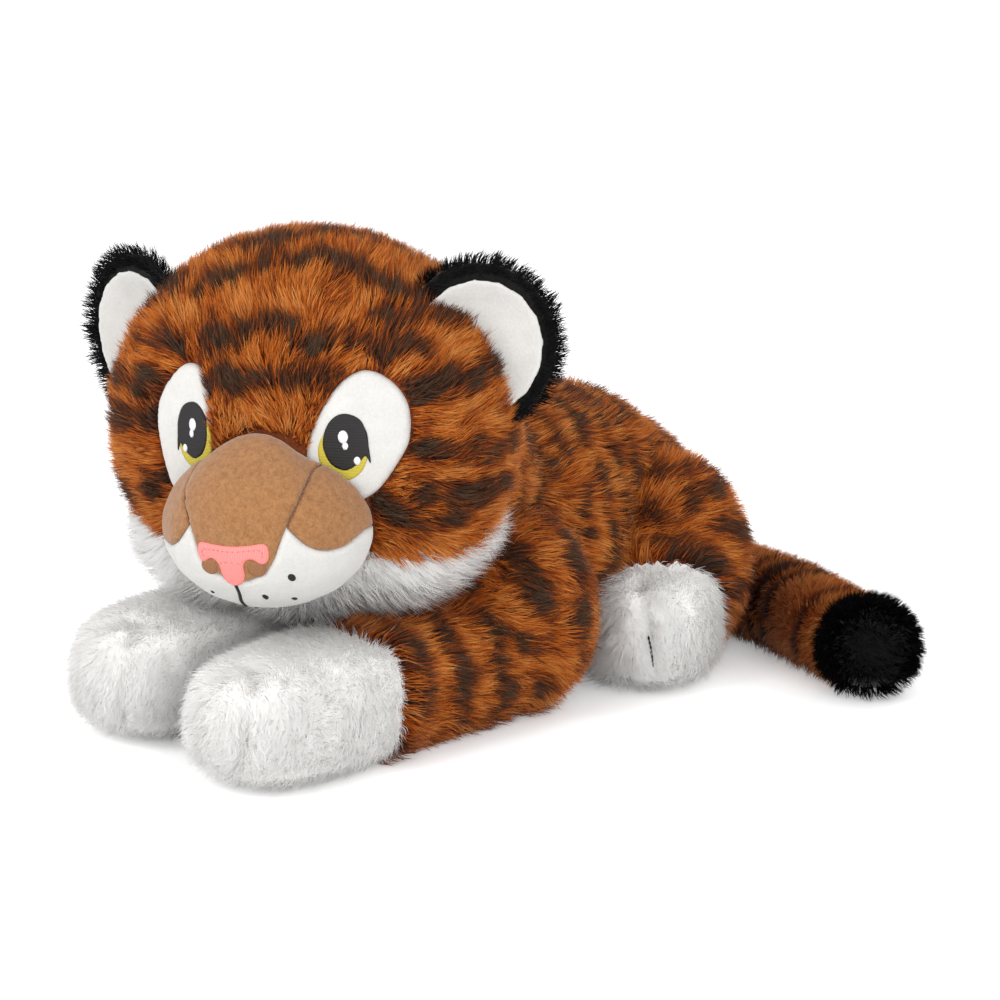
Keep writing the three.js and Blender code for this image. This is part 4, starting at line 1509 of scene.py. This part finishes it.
@dataclass
class Muzzle:
    """The padded muzzle: a tan bridge and cheeks over white cloth, with a stitched nose and mouth."""

    head: Head
    middle: tuple = (0.0, -50.0, -28.0)
    radii: tuple = (45.0, 40.0, 34.0)
    sink: float = 104.0
    cloth_top: float = 1.6
    seam_turn: float = 52.0
    cheek_turn: float = -1.0
    seam_gap: float = 0.12
    half_seam: tuple = ((24.3, -2.3), (24.2, -10.3), (20.4, -20.9))
    half_bridge: tuple = ((20.4, -20.9), (18.2, -26.6), (15.9, -32.6), (11.4, -38.6), (4.0, -42.8))
    half_cheek: tuple = (
        (20.4, -20.9), (24.0, -25.4), (27.8, -29.4), (33.0, -32.2), (38.2, -31.8), (41.9, -28.2),
    )
    nose: tuple = (
        (-15.6, -29.2), (-14.2, -26.9), (-8.0, -27.3), (-1.0, -27.6),
        (6.0, -27.2), (12.2, -26.6), (13.9, -29.0),
        (13.4, -33.0), (10.8, -34.6), (6.6, -32.6), (3.6, -34.4), (2.9, -39.6), (0.4, -43.4), (-4.2, -43.4),
        (-6.4, -39.6), (-7.0, -34.6), (-10.2, -32.8), (-13.6, -34.6), (-15.4, -32.6),
    )
    nose_seams: tuple = (
        ((-12.6, -32.4), (-13.4, -30.6), (-12.0, -29.2), (-1.0, -29.6),
         (10.2, -28.9), (11.6, -30.4), (11.2, -32.2)),
        ((-6.6, -34.2), (-1.8, -33.6), (3.0, -34.2)),
    )
    nostrils: tuple = ((-11.6, -36.6), (8.2, -36.8))
    nostril_half: tuple = (3.6, 3.2)
    mouth: tuple = ((-1.9, -43.4), (-2.4, -48.4), (-4.6, -54.0), (-6.2, -57.4))
    mouth_half: float = 0.75
    lower_points: int = 48
    panel_step: float = 1.5
    seam_depth: float = 0.8
    seam_stitch: tuple = (1.9, 0.42)
    nose_stitch: tuple = (1.5, 0.3)
    nose_rise: float = 0.9
    nose_seam_rise: float = 0.8
    nostril_rise: float = 0.45
    line_rise: float = 0.4
    NOSE_EDGE = {"thickness": 1.6, "drop": 0.8, "roll": 1.0, "step": 0.8}
    NOSTRIL_EDGE = {"thickness": 1.2, "drop": 0.4, "roll": 0.8, "step": 0.7}
    MOUTH_EDGE = {"thickness": 1.2, "drop": 0.4, "roll": 0.5, "step": 0.5}
    DOT_EDGE = {"thickness": 1.2, "drop": 0.4, "roll": 0.5, "step": 0.45}
    dots: tuple = (
        (20.0, -41.1, 1.35, 1.7), (7.4, -49.9, 1.2, 1.3), (16.8, -51.8, 1.0, 0.7), (-15.6, -49.4, 1.0, 0.7),
    )

    def skin(self) -> bpy.types.Object:
        """Makes the stuffed form that the panels are stretched over."""
        nodes = (
            "muzzle_stuffing", "muzzle_bridge", "muzzle_lobe_left", "muzzle_lobe_right", "muzzle_lower",
        )
        layout = Skin("muzzle_skin", "head", nodes, "stuffing", voxel=1.3, smooth=46, inset=1.6)
        skin = layout.make()
        skin.data.materials.append(WHITE_NAP.make())
        dressed(skin, "head", "stuffing", "muzzle_stuffing")
        return skin

    def shrunk(self, ring: Array) -> Array:
        """Returns an outline drawn in by the seam's gap."""
        middle = ring.mean(0)
        return middle + (ring - middle) * (1 - self.seam_gap / np.linalg.norm(ring - middle, axis=1).mean())

    def panels(self, form: Form) -> list[bpy.types.Object]:
        """Lays the four cloth panels with their rolled seams."""
        flip = np.array([-1, 1])
        seam = form.flat(curve(self.half_seam))
        bridge = form.flat(curve(self.half_bridge))
        cheek = form.flat(curve(self.half_cheek))
        upper = form.rim(self.seam_turn, 180 - self.seam_turn, self.sink)
        side = form.rim(self.cheek_turn, self.seam_turn, self.sink)
        start, end = 180 - self.cheek_turn, 360 + self.cheek_turn
        lower = form.rim(start, end, self.sink, self.lower_points)
        rings = {
            "muzzle_bridge": np.vstack([upper, seam * flip, bridge * flip, bridge[::-1], seam[::-1]]),
            "muzzle_lobe_left": np.vstack([side, seam, cheek]),
            "muzzle_lobe_right": np.vstack([side, seam, cheek]) * flip,
            "muzzle_lower": np.vstack([lower, cheek[::-1], bridge, bridge[::-1] * flip, cheek * flip]),
        }
        tan, white = TAN_NAP.make(), WHITE_NAP.make()
        pieces = []
        for node, ring in rings.items():
            cloth = white if node == "muzzle_lower" else tan
            patch = Patch(f"{node}_cloth", self.shrunk(ring), self.cloth_top, step=self.panel_step)
            piece = patch.make(form, cloth)
            slot = "white_cloth" if node == "muzzle_lower" else "tan_cloth"
            dressed(piece, "head", slot, node)
            pieces.append(piece)
        brown = BROWN_THREAD.make()
        for name, way in (("left", 1), ("right", -1)):
            line, top = seam * (way, 1), self.cloth_top - self.seam_depth
            row = thread(f"muzzle_seam_{name}", form, line, top, *self.seam_stitch)
            row.data.materials.append(brown)
            dressed(row, "head", "tan_cloth")
        return pieces

    def stitching(self, form: Form) -> None:
        """Embroiders the nose, the nostrils, the mouth and the whisker dots."""
        def embroider(
            name: str, ring: Array, rise: float, edge: dict, finish: bpy.types.Material, slot: str,
            *nodes: str,
        ) -> None:
            patch = Patch(name, form.flat(ring), self.cloth_top + rise, **edge)
            dressed(patch.make(form, finish), "head", slot, *nodes)

        nose = curve(self.nose, True)
        pink = PINK_STITCH.make()
        embroider("nose_stitch", nose, self.nose_rise, self.NOSE_EDGE, pink, "pink_stitching", "nose_patch")
        top = self.cloth_top + self.nose_seam_rise
        for index, seam in enumerate(self.nose_seams, 1):
            row = thread(f"nose_seam_{index}", form, form.flat(curve(seam)), top, *self.nose_stitch)
            row.data.materials.append(ROSE_THREAD.make())
            dressed(row, "head", "pink_stitching")
        brown, black = BROWN_STITCH.make(), BLACK_STITCH.make()
        for index, (x, z) in enumerate(self.nostrils, 1):
            ring = oval(x, z, *self.nostril_half)
            embroider(f"nostril_{index}", ring, self.nostril_rise, self.NOSTRIL_EDGE, brown, "tan_cloth")
        line = curve(self.mouth)
        side = unit(np.gradient(line, axis=0))[:, ::-1] * np.array([1, -1]) * self.mouth_half
        ring = np.vstack([line + side, (line - side)[::-1]])
        embroider("mouth_stitch", ring, self.line_rise, self.MOUTH_EDGE, black, "black_stitching")
        for index, dot in enumerate(self.dots, 1):
            name = f"whisker_dot_{index}"
            embroider(name, oval(*dot), self.line_rise, self.DOT_EDGE, black, "black_stitching")

    def build(self) -> list[bpy.types.Object]:
        """Makes the muzzle and returns its cloth panels."""
        form = Form(self.head, self.skin(), self.middle, self.radii)
        pieces = self.panels(form)
        self.stitching(form)
        return pieces


@dataclass
class Eye:
    """One eye: a white cloth patch with olive, black and white satin stitch."""

    head: Head
    side: str
    cloth_top: float = 3.0
    layer: float = 0.35
    patches = {
        "left": (
            (39.3, 32.9), (45.0, 31.4), (50.5, 27.3), (54.2, 22.3), (56.3, 16.5), (56.8, 9.0), (55.4, 2.0),
            (49.4, -8.0), (42.6, -15.8), (34.0, -19.5), (25.0, -18.0),
            (19.5, -10.0), (17.8, -2.0), (19.2, 6.5),
            (22.3, 14.5), (25.4, 20.6), (29.3, 26.4), (33.9, 30.8),
        ),
        "right": (
            (-32.0, 34.2), (-27.5, 31.6), (-24.9, 24.2), (-23.4, 15.0),
            (-22.8, 6.0), (-22.5, -6.0), (-27.0, -17.0),
            (-36.0, -20.0), (-43.3, -16.6), (-46.6, -7.0), (-48.6, 3.0),
            (-49.4, 12.0), (-47.6, 20.5), (-42.0, 28.6),
            (-37.0, 33.2),
        ),
    }
    middles = {"left": (33.3, 5.7, 1.0), "right": (-30.4, 8.7, 0.84)}
    iris: tuple = (-1.2, -4.0, 9.3, 11.2)
    pupil: tuple = (
        (0.2, 11.2), (5.3, 9.0), (8.0, 3.6), (8.5, -1.6),
        (8.9, -8.6), (7.2, -5.6), (4.6, -8.4), (-0.3, -11.0),
        (-5.6, -8.4), (-8.4, -1.5), (-7.4, 5.2), (-4.2, 9.8),
    )
    glints: tuple = ((-0.6, 2.4, 1.9, 2.5), (0.1, -1.1, 1.15, 1.6))
    spark: tuple = (4.2, -7.2, 1.2, 1.7)
    oval_points: int = 36
    CLOTH_EDGE = {"thickness": 4.6, "drop": 2.2, "roll": 3.0, "step": 1.2}
    STITCH_EDGE = {"thickness": 1.2, "drop": 0.35, "roll": 0.7, "step": 0.6}

    def placed(self, shape: Sequence) -> Array:
        """Moves a shape from the eye's own middle to the face's front view."""
        x, z, narrow = self.middles[self.side]
        way = 1 if self.side == "left" else -1
        return np.asarray(shape, float) * np.array([way * narrow, 1]) + np.array([x, z])

    def build(self, form: Form) -> bpy.types.Object:
        """Makes the eye and returns its cloth patch."""
        cloth = form.flat(curve(self.patches[self.side], True))
        patch = Patch(f"eye_cloth_{self.side}", cloth, self.cloth_top, **self.CLOTH_EDGE)
        white = patch.make(form, WHITE_NAP.make())
        dressed(white, "head", "white_cloth", f"eye_patch_{self.side}")
        ovals = (oval(*shape, self.oval_points) for shape in (self.iris, *self.glints, self.spark))
        iris, glint, glint_low, spark = ovals
        layers = (
            ("iris", 1, iris, OLIVE_STITCH, "olive_stitching", ("iris",)),
            ("pupil", 2, curve(self.pupil, True), BLACK_STITCH, "black_stitching", ("pupil",)),
            ("glint", 3, glint, GLINT_STITCH, "white_stitching", ("eye_glint",)),
            ("glint_low", 3, glint_low, GLINT_STITCH, "white_stitching", ()),
            ("spark", 3, spark, GLINT_STITCH, "white_stitching", ("eye_spark",)),
        )
        for name, height, shape, finish, slot, nodes in layers:
            top = self.cloth_top + self.layer * height
            ring = form.flat(self.placed(shape))
            piece = Patch(f"{name}_{self.side}_stitch", ring, top, **self.STITCH_EDGE)
            dressed(piece.make(form, finish.make()), "head", slot, *(f"{n}_{self.side}" for n in nodes))
        return white


@dataclass
class Ear:
    """One ear: black fur behind and round the rim, smooth white lining in front."""

    head: Head
    side: str
    pile: float = 8.5
    comb_from: tuple = (0.0, 10.0, 0.0)
    bare_rim: float = 2.2
    rim_share: float = 0.75
    rim_reach: tuple = (2.0, 9.0)

    def comb(self, points: Array) -> Array:
        """Returns the way that the ear's fur lies: out from the head."""
        return self.head.outward(unit(self.head.local(points) - np.array(self.comb_from) * MM))

    def trim(self, points: Array, normals: Array) -> Array:
        """Keeps the fur off the front of the lining."""
        lining = tree(f"ear_lining_{self.side}")
        gap = distance_to(lining, points)
        hidden = under(lining, points, normals) | (gap < self.bare_rim * MM)
        near, far = self.rim_reach
        share = self.rim_share + (1 - self.rim_share) * smoothstep(near * MM, far * MM, gap)
        return np.where(hidden, 0, share)

    def build(self, tailor: Tailor) -> None:
        """Makes the ear."""
        back, lining = f"ear_back_{self.side}", f"ear_lining_{self.side}"
        skin = Skin(f"ear_skin_{self.side}", "head", (back,), "black_fur", voxel=1.4, smooth=8, inset=0.6)
        tailor.sew(skin, [
            FurPanel(f"ear_fur_{self.side}", "head", (back,), Coat.BLACK, self.comb, plain, pile=self.pile,
                     density=2.2, width=0.4, gather=0.3, stray=0.14, trim=self.trim),
        ])
        front = Skin(
            f"ear_front_{self.side}", "head", (lining,), "white_cloth", voxel=0.9, smooth=16, inset=0.1,
        )
        obj = front.make()
        obj.data.materials.append(WHITE_NAP.make())
        dressed(obj, "head", "white_cloth", lining)


# Studio


@dataclass
class Studio:
    """The pale floor, the soft light and the camera."""

    azimuth: float = 42.0
    elevation: float = 15.5
    distance: float = 3200.0
    target: tuple = (-9.6, 19.6, 68.8)
    pixel: float = 0.42
    rise: float = 2.0
    sensor: float = 36.0
    clip: tuple = (0.1, 30.0)
    look_at: tuple = (0.0, 0.0, 0.08)
    sky: float = 0.87
    floor_size: float = 12.0
    floor_shade: float = 0.86
    floor_roughness: float = 0.9
    floor_glow: float = 0.3
    lamps = (
        ("key", (-0.4, -2.1, 1.35), 1.7, 32.0),
        ("fill", (1.9, -1.1, 1.0), 1.6, 28.0),
        ("back", (0.3, 1.8, 1.6), 1.4, 12.0),
    )

    def camera(self) -> None:
        """Places the camera at the photograph's angle."""
        a, e = math.radians(self.azimuth), math.radians(self.elevation)
        back = Vector((math.sin(a) * math.cos(e), -math.cos(a) * math.cos(e), math.sin(e)))
        data = bpy.data.cameras.new("camera")
        data.sensor_width = self.sensor
        data.lens = self.sensor * self.distance / (self.pixel * PHOTO_WIDTH)
        data.clip_start, data.clip_end = self.clip
        camera = linked("camera", data)
        camera.rotation_mode = "QUATERNION"
        turn = (-back).to_track_quat("-Z", "Y")
        up = turn @ Vector((0, 1, 0))
        aim = Vector(self.target) * MM - up * self.rise * self.pixel * MM
        camera.location = aim + back * self.distance * MM
        camera.rotation_quaternion = turn
        bpy.context.scene.camera = camera

    def lamp(self, name: str, place: tuple, size: float, power: float) -> None:
        """Adds one soft lamp that looks at the toy."""
        data = bpy.data.lights.new(name, "AREA")
        data.size, data.energy = size, power
        lamp = linked(name, data)
        lamp.location = place
        way = Vector(self.look_at) - Vector(place)
        lamp.rotation_euler = way.to_track_quat("-Z", "Y").to_euler()

    def world(self) -> None:
        """Sets an even pale sky that the camera sees as white."""
        world = bpy.data.worlds.new("studio")
        bpy.context.scene.world = world
        world.use_nodes = True
        nodes = world.node_tree
        base = nodes.nodes["Background"]
        base.inputs["Color"].default_value = (1, 1, 1, 1)
        base.inputs["Strength"].default_value = self.sky
        white = node(nodes, "Background", {"Color": (1, 1, 1, 1)})
        path = node(nodes, "LightPath")
        mix = node(nodes, "MixShader")
        seen, whole = (node(nodes, "Math", operation="MAXIMUM") for _ in range(2))
        wire(
            nodes, (path, "Is Camera Ray", seen, 0), (path, "Is Glossy Ray", seen, 1), (seen, 0, whole, 0),
            (path, "Is Transmission Ray", whole, 1), (whole, 0, mix, "Fac"), (base, 0, mix, 1),
            (white, 0, mix, 2), (mix, 0, nodes.nodes["World Output"], "Surface"),
        )

    def floor(self) -> None:
        """Lays a plain pale floor."""
        deselect()
        bpy.ops.mesh.primitive_plane_add(size=self.floor_size, location=(0, 0, 0))
        floor = bpy.context.view_layer.objects.active
        floor.name = "floor"
        material, nodes, main = shader("pale_floor", Roughness=self.floor_roughness, Specular_IOR_Level=0)
        main.inputs["Base Color"].default_value = (*[self.floor_shade] * 3, 1)
        glow = node(nodes, "Emission")
        path = node(nodes, "LightPath")
        scale = node(nodes, "Math", {1: self.floor_glow}, operation="MULTIPLY")
        both = node(nodes, "AddShader")
        wire(
            nodes, (path, "Is Camera Ray", scale, 0), (scale, 0, glow, "Strength"), (main, 0, both, 0),
            (glow, 0, both, 1), (both, 0, nodes.nodes["Material Output"], "Surface"),
        )
        floor.data.materials.append(material)

    def build(self) -> None:
        """Sets up the whole studio."""
        bpy.context.scene.view_settings.view_transform = "Standard"
        self.camera()
        self.world()
        self.floor()
        for lamp in self.lamps:
            self.lamp(*lamp)


def main() -> None:
    """Builds every sub-assembly in order."""
    logging.basicConfig(level=logging.INFO, format="%(message)s")
    Studio().build()
    furrier = Furrier()
    tailor = Tailor(furrier)
    Torso().build(tailor)
    for side in ("left", "right"):
        Foreleg(side).build(tailor)
        Hindleg(side).build(tailor)
    Tail().build(tailor)
    Head().build(tailor)
    LOG.info("strands: %d", furrier.strands)
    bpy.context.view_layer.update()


if __name__ == "__main__":
    main()
